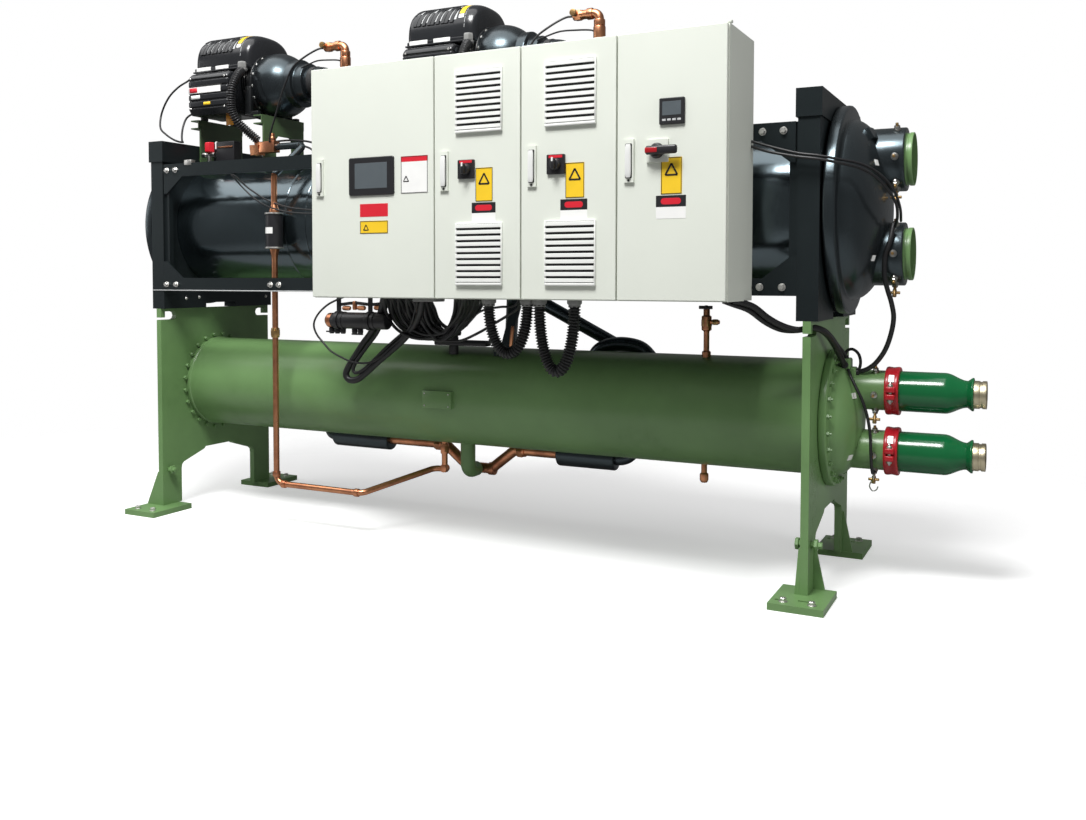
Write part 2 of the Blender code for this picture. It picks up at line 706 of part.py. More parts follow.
def tube_sheet(name, x, side):
    """A thick insulated square with a cap block on top, a notch below and a post on its inner face."""
    bottom = END_PLATE_HEIGHT + GAP
    sheet = box(
        name,
        (x - SHEET_FACE, 0, bottom),
        (x + SHEET_FACE, FRAME_DEPTH, bottom + TUBE_SHEET_HEIGHT - CAP_HEIGHT / 2),
        BLACK,
    )
    cap = box(
        f"{name}_cap",
        (x - SHEET_FACE - CAP_LIP, -CAP_LIP, bottom + TUBE_SHEET_HEIGHT - CAP_HEIGHT),
        (x + SHEET_FACE + CAP_LIP, FRAME_DEPTH + CAP_LIP, bottom + TUBE_SHEET_HEIGHT),
    )
    inner = x - side * (SHEET_FACE - FILL)
    faces = sorted((inner, inner - side * (POST_WIDTH + FILL)))
    post = box(
        f"{name}_post",
        (faces[0], RAIL_THICKNESS + GAP, RAIL_BOTTOM),
        (faces[1], RAIL_THICKNESS + GAP + POST_DEPTH, RAIL_TOP),
    )
    notch = box(
        f"{name}_notch",
        (x - SHEET_FACE - 0.02, MIDDLE_Y - SHEET_NOTCH_WIDTH / 2, bottom - 0.02),
        (x + SHEET_FACE + 0.02, MIDDLE_Y + SHEET_NOTCH_WIDTH / 2, bottom + SHEET_NOTCH_HEIGHT),
    )
    return cut(join(sheet, cap, post), notch)


def evaporator():
    tube_sheet("tube_sheet_left", 0, -1)
    tube_sheet("tube_sheet_right", PLATE_SPAN, 1)
    shell(
        "evaporator_shell",
        EVAPORATOR_DIAMETER,
        EVAPORATOR_HEIGHT,
        SHEET_FACE + GAP,
        PLATE_SPAN - SHEET_FACE - GAP,
        BLACK,
    )
    ring_radius = EVAPORATOR_RING_DIAMETER / 2
    clear = CAP_LIP + GAP
    dished_head(
        "evaporator_cover_left",
        -SHEET_FACE - clear,
        -1,
        EVAPORATOR_HEIGHT,
        ring_radius,
        EVAPORATOR_RING_THICKNESS,
        EVAPORATOR_DISH_DIAMETER / 2,
        COVER_DISH_DEPTH,
        BLACK,
    )
    centre = EVAPORATOR_HEIGHT + EVAPORATOR_NOZZLE_RISE
    places = [centre + side * EVAPORATOR_NOZZLE_SPREAD / 2 for side in (1, -1)]
    face = PLATE_SPAN + SHEET_FACE + clear
    bore = EVAPORATOR_NOZZLE_DIAMETER - 2 * PIPE_WALL
    dished_head(
        "evaporator_water_box",
        face,
        1,
        EVAPORATOR_HEIGHT,
        ring_radius,
        EVAPORATOR_RING_THICKNESS,
        EVAPORATOR_DISH_DIAMETER / 2,
        EVAPORATOR_DISH_DEPTH,
        BLACK,
        [(place, bore) for place in places],
    )
    head = (
        face,
        EVAPORATOR_RING_THICKNESS,
        EVAPORATOR_DISH_DIAMETER / 2,
        EVAPORATOR_DISH_DEPTH,
        EVAPORATOR_HEIGHT,
    )
    end = PLATE_SPAN + EVAPORATOR_NOZZLE_REACH
    for label, place in zip(("upper", "lower"), places):
        stub = nozzle(
            f"evaporator_nozzle_{label}",
            place,
            EVAPORATOR_NOZZLE_DIAMETER + 2 * INSULATION,
            PIPE_WALL + INSULATION,
            face + EVAPORATOR_RING_THICKNESS + 0.01,
            end,
            head,
            BLACK,
        )
        big = EVAPORATOR_NOZZLE_DIAMETER / 2
        profile = [
            (big, NOZZLE_END_LENGTH),
            (big, 0.022),
            (big - 0.003, 0.022),
            (big - 0.003, 0.012),
            (big, 0.012),
            (big, -FILL),
            (big - PIPE_WALL, -FILL),
            (big - PIPE_WALL, NOZZLE_END_LENGTH),
        ]
        join(stub, turned(f"nozzle_end_{label}", profile, (end, MIDDLE_Y, place), (1, 0, 0), steps=24))


def rail(name, top):
    """A flat bar between the tube sheets, with a gusset in each inner corner."""
    low, high = SHEET_FACE + GAP, PLATE_SPAN - SHEET_FACE - GAP
    upper = name == "rail_upper"
    if upper:
        low, high = low + CAP_LIP, high - CAP_LIP
    bottom = top - RAIL_HEIGHT
    inner = bottom if upper else top
    reach = -RAIL_GUSSET_DROP if upper else RAIL_GUSSET_DROP
    points = [
        (low, inner + reach),
        (low + 0.02, inner + reach),
        (low + RAIL_GUSSET, inner),
        (high - RAIL_GUSSET, inner),
        (high - 0.02, inner + reach),
        (high, inner + reach),
        (high, top if upper else bottom),
        (low, top if upper else bottom),
    ]
    return outline(name, points, RAIL_THICKNESS, "XZ", RAIL_THICKNESS / 2, STEEL_BLACK)


def door_edges():
    left = CABINET_LEFT
    for width in DOOR_WIDTHS:
        yield left + DOOR_GAP / 2, left + width - DOOR_GAP / 2
        left += width


def cabinet():
    """A box open at the front, with a rebate frame and mullions behind the door joints."""
    low = (CABINET_LEFT, CABINET_FRONT, CABINET_BOTTOM)
    high = (CABINET_LEFT + CABINET_WIDTH, -GAP, CABINET_BOTTOM + CABINET_HEIGHT)
    body = box("cabinet_body", low, high, CABINET_PAINT)
    frame = CABINET_FRAME
    inner = box(
        "cabinet_hollow",
        (low[0] + CABINET_WALL, low[1] + 0.02, low[2] + CABINET_WALL),
        (high[0] - CABINET_WALL, high[1] - CABINET_WALL, high[2] - CABINET_WALL),
    )
    cut(body, inner)
    for left, right in door_edges():
        mouth = box(
            "cabinet_mouth",
            (left + frame / 2, low[1] - 0.05, low[2] + frame),
            (right - frame / 2, low[1] + 0.05, high[2] - frame),
        )
        cut(body, mouth)
    plate_y = high[1] - CABINET_WALL - GAP
    back = box(
        "mounting_plate",
        (low[0] + 0.05, plate_y - 0.025, low[2] + 0.06),
        (high[0] - 0.05, plate_y, high[2] - 0.06),
        ZINC,
    )
    recess = box(
        "mounting_recess",
        (low[0] + 0.052, plate_y - 0.030, low[2] + 0.062),
        (high[0] - 0.052, plate_y - 0.003, high[2] - 0.062),
    )
    cut(back, recess)


def door(number, left, right):
    bottom = CABINET_BOTTOM + DOOR_GAP / 2
    top = CABINET_BOTTOM + CABINET_HEIGHT - DOOR_GAP / 2
    panel = box(
        f"door_{number}",
        (left, DOOR_FACE, bottom),
        (right, DOOR_FACE + DOOR_THICKNESS, top),
        CABINET_PAINT,
        bevel=0.002,
        segments=1,
    )
    fold = 0.0022
    hollow = box(
        f"door_{number}_hollow",
        (left + fold, DOOR_FACE + fold, bottom + fold),
        (right - fold, DOOR_FACE + DOOR_THICKNESS + 0.01, top - fold),
    )
    cut(panel, hollow)
    pad_x = left + HANDLE_INSET + HANDLE_WIDTH / 2
    pad_z = CABINET_BOTTOM + HANDLE_CENTRE
    pad = box(
        f"door_{number}_handle_base",
        (pad_x - HANDLE_WIDTH / 2, DOOR_FACE - HANDLE_PROUD, pad_z - HANDLE_HEIGHT / 2),
        (pad_x + HANDLE_WIDTH / 2, DOOR_FACE + fold / 2, pad_z + HANDLE_HEIGHT / 2),
    )
    join(panel, pad)
    return panel, pad_x, pad_z


def lever(number, x, z):
    """A swing lever on the front of its base, pinned at its top."""
    face = DOOR_FACE - HANDLE_PROUD - GAP
    top = z + LEVER_LENGTH / 2
    return box(
        f"lever_{number}",
        (x - LEVER_WIDTH / 2, face - LEVER_THICKNESS, top - LEVER_LENGTH),
        (x + LEVER_WIDTH / 2, face, top),
        CHROME,
        bevel=0.004,
        segments=1,
    )


def vent(name, x, z):
    """A framed louvre with sloping slats, on the door's face."""
    wide, high = VENT_WIDTH / 2, VENT_HEIGHT / 2
    face = DOOR_FACE - GAP
    grille = box(name, (x - wide, face - VENT_PROUD, z - high), (x + wide, face, z + high), CABINET_PAINT)
    window = box(
        f"{name}_window",
        (x - wide + VENT_FRAME, face - VENT_PROUD - 0.01, z - high + VENT_FRAME),
        (x + wide - VENT_FRAME, face - 0.003, z + high - VENT_FRAME),
    )
    cut(grille, window)
    pitch = (VENT_HEIGHT - 2 * VENT_FRAME) / VENT_SLATS
    for i in range(VENT_SLATS):
        middle = z - high + VENT_FRAME + (i + 0.5) * pitch
        points = [
            (face - 0.003 + FILL, middle + pitch * 0.40),
            (face - 0.003 + FILL, middle + pitch * 0.22),
            (face - VENT_PROUD + 0.001, middle - pitch * 0.28),
            (face - VENT_PROUD + 0.001, middle - pitch * 0.10),
        ]
        slat = outline(f"{name}_slat", points, 2 * (wide - VENT_FRAME + FILL), "YZ", x)
        join(grille, slat)
    return grille


def knob(name, x, z, size=1.0):
    """A round base with a grip bar across it; it turns about the axis through (x, z)."""
    face = DOOR_FACE - KNOB_PLATE_PROUD - GAP
    base = cylinder(
        name, size * KNOB_DIAMETER / 2, (x, face, z), (x, face - 0.014, z), PLASTIC, sides=24
    )
    grip = box(
        f"{name}_grip",
        (-0.011 * size, -KNOB_DEPTH, -KNOB_DIAMETER * 0.62 * size),
        (0.011 * size, -0.008, KNOB_DIAMETER * 0.62 * size),
    )
    grip.location += Vector((x, face, z))
    return join(base, grip)


def knob_plate(panel, number, x, z, size):
    plate = box(
        f"door_{number}_knob_plate",
        (x - size / 2, DOOR_FACE - KNOB_PLATE_PROUD, z - size / 2),
        (x + size / 2, DOOR_FACE + 0.001, z + size / 2),
    )
    join(panel, plate)


def cabinet_front():
    for number, (left, right) in enumerate(door_edges(), 1):
        panel, pad_x, pad_z = door(number, left, right)
        lever(number, pad_x, pad_z)
        middle = (left + right) / 2
        z = CABINET_BOTTOM + KNOB_HEIGHT
        if number in (2, 3):
            vent(f"vent_{number}_upper", middle + 0.013, CABINET_BOTTOM + VENT_HIGH)
            vent(f"vent_{number}_lower", middle + 0.013, CABINET_BOTTOM + VENT_LOW)
            knob_plate(panel, number, left + 0.158, z, KNOB_PLATE)
            knob(f"breaker_knob_{number}", left + 0.158, z)
        if number == 1:
            x, height = CABINET_LEFT + SCREEN_CENTRE[0], CABINET_BOTTOM + SCREEN_CENTRE[1]
            box(
                "touch_screen",
                (x - SCREEN_WIDTH / 2, DOOR_FACE - GAP - SCREEN_PROUD, height - SCREEN_HEIGHT / 2),
                (x + SCREEN_WIDTH / 2, DOOR_FACE - GAP, height + SCREEN_HEIGHT / 2),
                GLASS,
                bevel=0.003,
                segments=1,
            )
        if number == 4:
            x, height = left + METER_CENTRE[0], CABINET_BOTTOM + METER_CENTRE[1]
            box(
                "power_meter",
                (x - METER_SIZE / 2, DOOR_FACE - GAP - METER_PROUD, height - METER_SIZE / 2),
                (x + METER_SIZE / 2, DOOR_FACE - GAP, height + METER_SIZE / 2),
                PLASTIC,
                bevel=0.003,
                segments=1,
            )
            x, height = left + ISOLATOR_CENTRE[0], CABINET_BOTTOM + ISOLATOR_CENTRE[1]
            knob_plate(panel, number, x, height, KNOB_PLATE * 1.15)
            knob("isolator_knob", x, height, ISOLATOR_SCALE)


def shell_seat(name):
    """The evaporator's outside, for cutting what stands on it."""
    radius = EVAPORATOR_DIAMETER / 2 + GAP
    low = EVAPORATOR_HEIGHT
    return cylinder(name, radius, (-0.5, MIDDLE_Y, low), (PLATE_SPAN, MIDDLE_Y, low), sides=48)


def condenser_seat(name):
    radius = CONDENSER_DIAMETER / 2 + GAP
    low = CONDENSER_HEIGHT
    return cylinder(name, radius, (0, MIDDLE_Y, low), (PLATE_SPAN, MIDDLE_Y, low), sides=48)


def support(name, left):
    """Two channels across the shell, each on an arched plate that is saddled on it, with low ties between."""
    low = EVAPORATOR_HEIGHT
    top = SUPPORT_TOP - CHANNEL_HEIGHT
    front = MIDDLE_Y - SUPPORT_WIDTH / 2
    back = MIDDLE_Y + SUPPORT_WIDTH / 2
    legs = (front + 0.01, front + 0.01 + SUPPORT_LEG, back - 0.01 - SUPPORT_LEG, back - 0.01)
    arch = top - SUPPORT_BAND
    points = [
        (legs[0], low),
        (legs[0], top + FILL),
        (legs[3], top + FILL),
        (legs[3], low),
        (legs[2], low),
        (legs[2], arch - 0.02),
        (legs[2] - 0.02, arch),
        (legs[1] + 0.02, arch),
        (legs[1], arch - 0.02),
        (legs[1], low),
    ]
    beams = [
        box(f"{name}_beam", (x - CHANNEL_WIDTH / 2, front, top), (x + CHANNEL_WIDTH / 2, back, SUPPORT_TOP), GREEN)
        for x in (left, left + SUPPORT_SPACING)
    ]
    for beam, x in zip(beams, (left, left + SUPPORT_SPACING)):
        hollow = box(
            f"{name}_hollow",
            (x - CHANNEL_WIDTH, front - 0.01, top + CHANNEL_WALL),
            (x + CHANNEL_WIDTH / 2 - CHANNEL_WALL, back + 0.01, SUPPORT_TOP - CHANNEL_WALL),
        )
        cut(beam, hollow)
    frame = beams[0]
    frame.name = name
    for x in (left, left + SUPPORT_SPACING):
        join(frame, outline(f"{name}_saddle", points, SUPPORT_PLATE, "YZ", x + SUPPORT_PLATE_SHIFT))
    crown = low + math.sqrt((EVAPORATOR_DIAMETER / 2) ** 2 - TIE_OFFSET**2)
    for side in (-1, 1):
        middle = MIDDLE_Y + side * TIE_OFFSET
        tie = box(
            f"{name}_tie",
            (left + SUPPORT_PLATE_SHIFT, middle - 0.02, crown - 0.03),
            (left + SUPPORT_SPACING + SUPPORT_PLATE_SHIFT, middle + 0.02, crown + TIE_HEIGHT),
        )
        join(frame, tie)
    join(frame, beams[1])
    return cut(frame, shell_seat(f"{name}_seat"))


def hood_outline():
    """The hood's section across the shaft: a square-shouldered curve over short straight sides."""
    half, base = HOOD_DIAMETER / 2, COMPRESSOR_HEIGHT + HOOD_BASE
    side = RIM_THICKNESS / 3
    height = HOOD_RISE - HOOD_BASE - side
    count = 16
    points = []
    for i in range(count + 1):
        turn = math.pi * i / count
        across = math.copysign(abs(math.cos(turn)) ** (2 / HOOD_SQUARENESS), math.cos(turn))
        up = abs(math.sin(turn)) ** (2 / HOOD_SQUARENESS)
        points.append((MIDDLE_Y + half * across, base + side + height * up))
    return [*points, (points[-1][0], base), (points[0][0], base)]


def compressor(number, left):
    """Motor casing along X, a hood over it on a rim, the drive housing on its front, and legs on the beams."""
    name = f"compressor_{number}"
    right = left + COMPRESSOR_LENGTH
    height = COMPRESSOR_HEIGHT
    body = cylinder(name, MOTOR_DIAMETER / 2, (left, MIDDLE_Y, height), (right, MIDDLE_Y, height), CASTING, sides=36)
    hood = outline(f"{name}_hood", hood_outline(), COMPRESSOR_LENGTH - FILL, "YZ", (left + right) / 2)
    join(body, hood)
    reach = HOOD_DIAMETER / 2 + RIM_LIP
    rim = box(
        f"{name}_rim",
        (left + 0.03, MIDDLE_Y - reach, height + HOOD_BASE - RIM_THICKNESS),
        (right - 2 * FILL, MIDDLE_Y + reach, height + HOOD_BASE + FILL),
    )
    join(body, rim)
    drive = box(
        f"{name}_drive",
        (left + DRIVE_START, MIDDLE_Y - DRIVE_REACH, height - DRIVE_DROP),
        (left + DRIVE_START + DRIVE_LENGTH, MIDDLE_Y - 0.05, height - DRIVE_DROP + DRIVE_HEIGHT),
        bevel=DRIVE_CORNER,
        segments=3,
    )
    join(body, drive)
    for side in (-1, 1):
        y = MIDDLE_Y + side * 0.12
        near = box(
            f"{name}_leg_left",
            (left + 0.003, y - 0.02, SUPPORT_TOP + GAP),
            (left + CHANNEL_WIDTH / 2, y + 0.02, height),
        )
        edges = sorted((MIDDLE_Y + side * 0.15, MIDDLE_Y + side * (SUPPORT_WIDTH / 2)))
        upright = box(
            f"{name}_leg_right",
            (right - 0.04, edges[0], SUPPORT_TOP + GAP),
            (right - FILL, edges[1], height - 0.02),
        )
        pad = box(
            f"{name}_pad",
            (right - 0.04 + FILL, edges[0] + FILL, SUPPORT_TOP + GAP),
            (left + SUPPORT_SPACING, edges[1] - FILL, SUPPORT_TOP + GAP + 0.022),
        )
        join(body, near, upright, pad)
    return body


def suction(number, left):
    """The insulated dome on the compressor's inlet, its collars, and the pipe that turns down to the evaporator."""
    name = f"suction_{number}"
    start = left + COMPRESSOR_LENGTH + GAP
    radius = SUCTION_DIAMETER / 2
    ring, ring_length = SUCTION_RING
    neck, neck_length = SUCTION_NECK
    count = 8
    first, last = math.acos(ring / radius), -math.asin(SUCTION_SETBACK / radius)
    edge = SUCTION_SETBACK + radius * math.sin(first)
    profile = [
        (0, edge + ring_length + neck_length),
        (neck, edge + ring_length + neck_length),
        (neck, edge + ring_length),
        (ring, edge + ring_length),
    ]
    for i in range(count):
        turn = first + (last - first) * i / (count - 1)
        profile.append((radius * math.cos(turn), SUCTION_SETBACK + radius * math.sin(turn)))
    profile[-1] = (profile[-1][0], 0)
    profile.append((0, 0))
    dome = turned(name, profile, (start, MIDDLE_Y, COMPRESSOR_HEIGHT), (1, 0, 0), BLACK, steps=30)
    middle = start + SUCTION_SETBACK
    turn_x = middle + SUCTION_DROP
    path = [
        (middle + 0.05, MIDDLE_Y, COMPRESSOR_HEIGHT),
        (turn_x, MIDDLE_Y, COMPRESSOR_HEIGHT),
        (turn_x, MIDDLE_Y, EVAPORATOR_HEIGHT + EVAPORATOR_DIAMETER / 2 - 0.05),
    ]
    join(dome, as_mesh(pipe(f"{name}_pipe", path, SUCTION_PIPE, bend=0.14, steps=6, resolution=3)))
    return smooth(cut(dome, shell_seat(f"{name}_seat")), 40)


def riser(number, left):
    """A copper riser from the shell, with an elbow and a brass service valve at its top."""
    name = f"riser_{number}"
    x = left + COMPRESSOR_LENGTH + SUCTION_SETBACK + RISER_OFFSET
    y = MIDDLE_Y - RISER_SETBACK
    top = COMPRESSOR_HEIGHT + RISER_RISE
    end = x - RISER_RUN
    path = [(x, y, EVAPORATOR_HEIGHT), (x, y, top), (end, y, top)]
    line = copper_pipe(name, path, RISER_PIPE, bend=RISER_BEND)
    valve_start, valve_end = end + RISER_VALVE[1] / 2, end - RISER_VALVE[1] / 2
    valve = cylinder(f"{name}_valve", RISER_VALVE[0] / 2, (valve_start, y, top), (valve_end, y, top), sides=16)
    join(line, valve)
    return cut(line, shell_seat(f"{name}_seat"))


def copper_pipe(name, path, diameter, bend, paint=None):
    line = as_mesh(pipe(name, path, diameter, bend=bend))
    line.data.materials.clear()
    line.data.materials.append(paint or COPPER)
    return line


def liquid_line():
    """From the beam down through the filter, below the condenser and up into its bottom."""
    half = FILTER_LENGTH / 2
    base = CONDENSER_BOTTOM - LIQUID_DROP
    level = CONDENSER_BOTTOM - OUTLET_DROP
    low = [
        (LIQUID_X, LIQUID_Y, FILTER_CENTRE - half - GAP),
        (LIQUID_X, LIQUID_Y, base),
        (LIQUID_TURN_X, LIQUID_Y, base),
        (LIQUID_END_X - 0.06, MIDDLE_Y, level),
        (LIQUID_END_X, MIDDLE_Y, level),
        (LIQUID_END_X, MIDDLE_Y, CONDENSER_BOTTOM + 0.03),
    ]
    cut(copper_pipe("liquid_line", low, LIQUID_PIPE, 0.05), condenser_seat("liquid_line_seat"))
    turned(
        "filter_drier",
        [
            (0, FILTER_LENGTH),
            (LIQUID_PIPE / 2 + 0.006, FILTER_LENGTH),
            (FILTER_DIAMETER / 2, FILTER_LENGTH - 0.028),
            (FILTER_DIAMETER / 2, 0.028),
            (LIQUID_PIPE / 2 + 0.006, 0),
            (0, 0),
        ],
        (LIQUID_X, LIQUID_Y, FILTER_CENTRE - half),
        (0, 0, 1),
        BLACK,
        steps=24,
    )
    elbow = EVAPORATOR_HEIGHT + LIQUID_ELBOW
    run, y = EVAPORATOR_HEIGHT + LIQUID_RUN, MIDDLE_Y - LIQUID_RUN_Y
    face = COMPRESSOR_LEFT + SUPPORT_SPACING + SUPPORT_PLATE_SHIFT + SUPPORT_PLATE / 2 + GAP
    path = [
        (LIQUID_X, LIQUID_Y, FILTER_CENTRE + half + GAP),
        (LIQUID_X, LIQUID_Y, elbow),
        (LIQUID_X + 0.025, y, run),
        (face + BLOCK_SIZE[0] / 2, y, run),
    ]
    top = copper_pipe("liquid_line_top", path, LIQUID_PIPE, 0.04)
    block = box(
        "liquid_block",
        (face, y - BLOCK_SIZE[1] / 2, run - BLOCK_SIZE[2] / 2),
        (face + BLOCK_SIZE[0], y + BLOCK_SIZE[1] / 2, run + BLOCK_SIZE[2] / 2),
    )
    cut(join(top, block), shell_seat("liquid_top_seat"))


def condenser_outlet():
    """The painted elbow under the condenser, the copper manifold behind it and the two insulated feed lines."""
    level = CONDENSER_BOTTOM - OUTLET_DROP
    back = MIDDLE_Y + MANIFOLD_SETBACK
    joint = back - MANIFOLD_PIPE / 2 - 0.01
    path = [(OUTLET_X, MIDDLE_Y, CONDENSER_BOTTOM + 0.05), (OUTLET_X, MIDDLE_Y, level), (OUTLET_X, joint, level)]
    elbow = copper_pipe("condenser_outlet", path, OUTLET_PIPE, 0.05, GREEN)
    cut(elbow, condenser_seat("outlet_seat"))
    high = CONDENSER_BOTTOM - MANIFOLD_DROP
    run = [
        (FEED_LEFT[0] + GAP, back, high),
        (OUTLET_X - 0.07 - MANIFOLD_SLOPE, back, high),
        (OUTLET_X - 0.07, back, level),
        (OUTLET_X + 0.07, back, level),
        (OUTLET_X + 0.07 + MANIFOLD_SLOPE, back, high),
        (FEED_RIGHT[0] - GAP, back, high),
    ]
    manifold = copper_pipe("lower_manifold", run, MANIFOLD_PIPE, 0.05)
    tee = cylinder("manifold_tee", OUTLET_PIPE / 2, (OUTLET_X, joint + GAP, level), (OUTLET_X, back, level), sides=16)
    join(manifold, tee)
    feed_line("feed_line_left", *FEED_LEFT)
    feed_line("feed_line_right", *FEED_RIGHT)


def feed_line(name, start, end, rise, inlet):
    """An insulated shell under the condenser, and its pipe that rises behind it to the evaporator's bottom."""
    back = MIDDLE_Y + MANIFOLD_SETBACK
    high = CONDENSER_BOTTOM - MANIFOLD_DROP
    far = MIDDLE_Y + CONDENSER_DIAMETER / 2 + FEED_CLEAR
    onward = 1 if end > start else -1
    top = CONDENSER_HEIGHT + CONDENSER_DIAMETER / 2
    bottom = EVAPORATOR_HEIGHT - EVAPORATOR_DIAMETER / 2
    join_y = MIDDLE_Y + EVAPORATOR_DIAMETER / 5
    path = [
        (end - onward * 0.05, back, high),
        (end + onward * 0.06, back, high),
        (end + onward * 0.12, far, CONDENSER_HEIGHT - 0.06),
        (rise, far, CONDENSER_HEIGHT - 0.06),
        (rise, far, top - 0.02),
        (inlet, join_y, bottom - 0.06),
        (inlet, join_y, bottom + 0.06),
    ]
    line = copper_pipe(name, path, FEED_PIPE, 0.06, BLACK)
    case = cylinder(f"{name}_case", FEED_SHELL / 2, (start, back, high), (end, back, high), sides=20)
    return cut(join(line, case), shell_seat(f"{name}_seat"))


def conduit(name, x, span, drop):
    """A corrugated loop that hangs from two glands in the cabinet's floor."""
    top = CABINET_BOTTOM - GAP
    y = -CONDUIT_SETBACK
    gland = 0.03
    count = 16
    path = [(x - span / 2, y, top)]
    for i in range(count + 1):
        turn = math.pi * i / count
        path.append((x - span / 2 * math.cos(turn), y, top - gland - (drop - gland) * math.sin(turn)))
    path.append((x + span / 2, y, top))
    return pipe(name, path, CONDUIT_DIAMETER, RUBBER)


def build():
    end_plate("end_plate_left", 0)
    end_plate("end_plate_right", PLATE_SPAN)
    for side, x, braces in (("left", 0, LEFT_BRACES), ("right", PLATE_SPAN, RIGHT_BRACES)):
        foot(f"foot_front_{side}", x, True, braces)
        foot(f"foot_back_{side}", x, False, braces)
    condenser()
    evaporator()
    rail("rail_upper", RAIL_TOP)
    rail("rail_lower", RAIL_BOTTOM + RAIL_HEIGHT)
    cabinet()
    cabinet_front()
    for number in (1, 2):
        left = COMPRESSOR_LEFT + (number - 1) * COMPRESSOR_SPACING
        support(f"support_{number}", left)
        compressor(number, left)
        suction(number, left)
        riser(number, left)
    liquid_line()
    condenser_outlet()
    for number, (x, span, drop) in enumerate(CONDUIT_LOOPS, 1):
        conduit(f"conduit_{number}", x, span, drop)


build()
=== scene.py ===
# Water-cooled chiller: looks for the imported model.
# x runs along the shells to the water connections, y from the cabinet to the back, z up from the floor.
import math

import bmesh
import bpy
import numpy as np
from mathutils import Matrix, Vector


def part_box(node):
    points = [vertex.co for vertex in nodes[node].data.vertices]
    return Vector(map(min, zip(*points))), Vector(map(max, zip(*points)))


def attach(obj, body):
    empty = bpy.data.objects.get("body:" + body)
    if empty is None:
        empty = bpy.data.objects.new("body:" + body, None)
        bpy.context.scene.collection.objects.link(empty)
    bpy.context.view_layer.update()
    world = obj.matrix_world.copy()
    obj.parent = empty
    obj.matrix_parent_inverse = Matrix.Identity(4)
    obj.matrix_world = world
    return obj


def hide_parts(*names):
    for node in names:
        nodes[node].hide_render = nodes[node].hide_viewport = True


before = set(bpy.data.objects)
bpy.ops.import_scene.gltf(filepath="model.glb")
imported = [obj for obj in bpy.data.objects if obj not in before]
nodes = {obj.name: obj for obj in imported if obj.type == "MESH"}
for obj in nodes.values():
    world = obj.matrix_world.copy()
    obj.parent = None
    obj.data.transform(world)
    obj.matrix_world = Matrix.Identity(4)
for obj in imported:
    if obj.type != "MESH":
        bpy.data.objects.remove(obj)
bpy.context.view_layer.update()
print("frame loaded,", len(nodes), "nodes")


# camera, floor and light

view = {
    "place": (4.3514, -4.1692, 1.297),
    "tilt": -2.3834,
    "turn": 27.7735,
    "lens": 34.41,
    "shift": (0.0351, -0.0831),
}

cameraData = bpy.data.cameras.new("camera")
cameraData.sensor_width = 36
cameraData.lens = view["lens"]
cameraData.shift_x, cameraData.shift_y = view["shift"]
cameraData.clip_end = 200
camera = bpy.data.objects.new("camera", cameraData)
camera.location = view["place"]
camera.rotation_euler = (math.radians(90 + view["tilt"]), 0, math.radians(view["turn"]))
bpy.context.scene.collection.objects.link(camera)
bpy.context.scene.camera = camera
bpy.context.scene.view_settings.view_transform = "Standard"


class Wire:
    # a socket that takes arithmetic: each operator adds its Math node
    def __init__(self, paint, socket):
        self.paint = paint
        self.socket = socket

    def __add__(self, other):
        return self.paint.maths("ADD", self, other)

    def __radd__(self, other):
        return self.paint.maths("ADD", other, self)

    def __sub__(self, other):
        return self.paint.maths("SUBTRACT", self, other)

    def __rsub__(self, other):
        return self.paint.maths("SUBTRACT", other, self)

    def __mul__(self, other):
        return self.paint.maths("MULTIPLY", self, other)

    def __rmul__(self, other):
        return self.paint.maths("MULTIPLY", other, self)

    def __truediv__(self, other):
        return self.paint.maths("DIVIDE", self, other)

    def __pow__(self, other):
        return self.paint.maths("POWER", self, other)


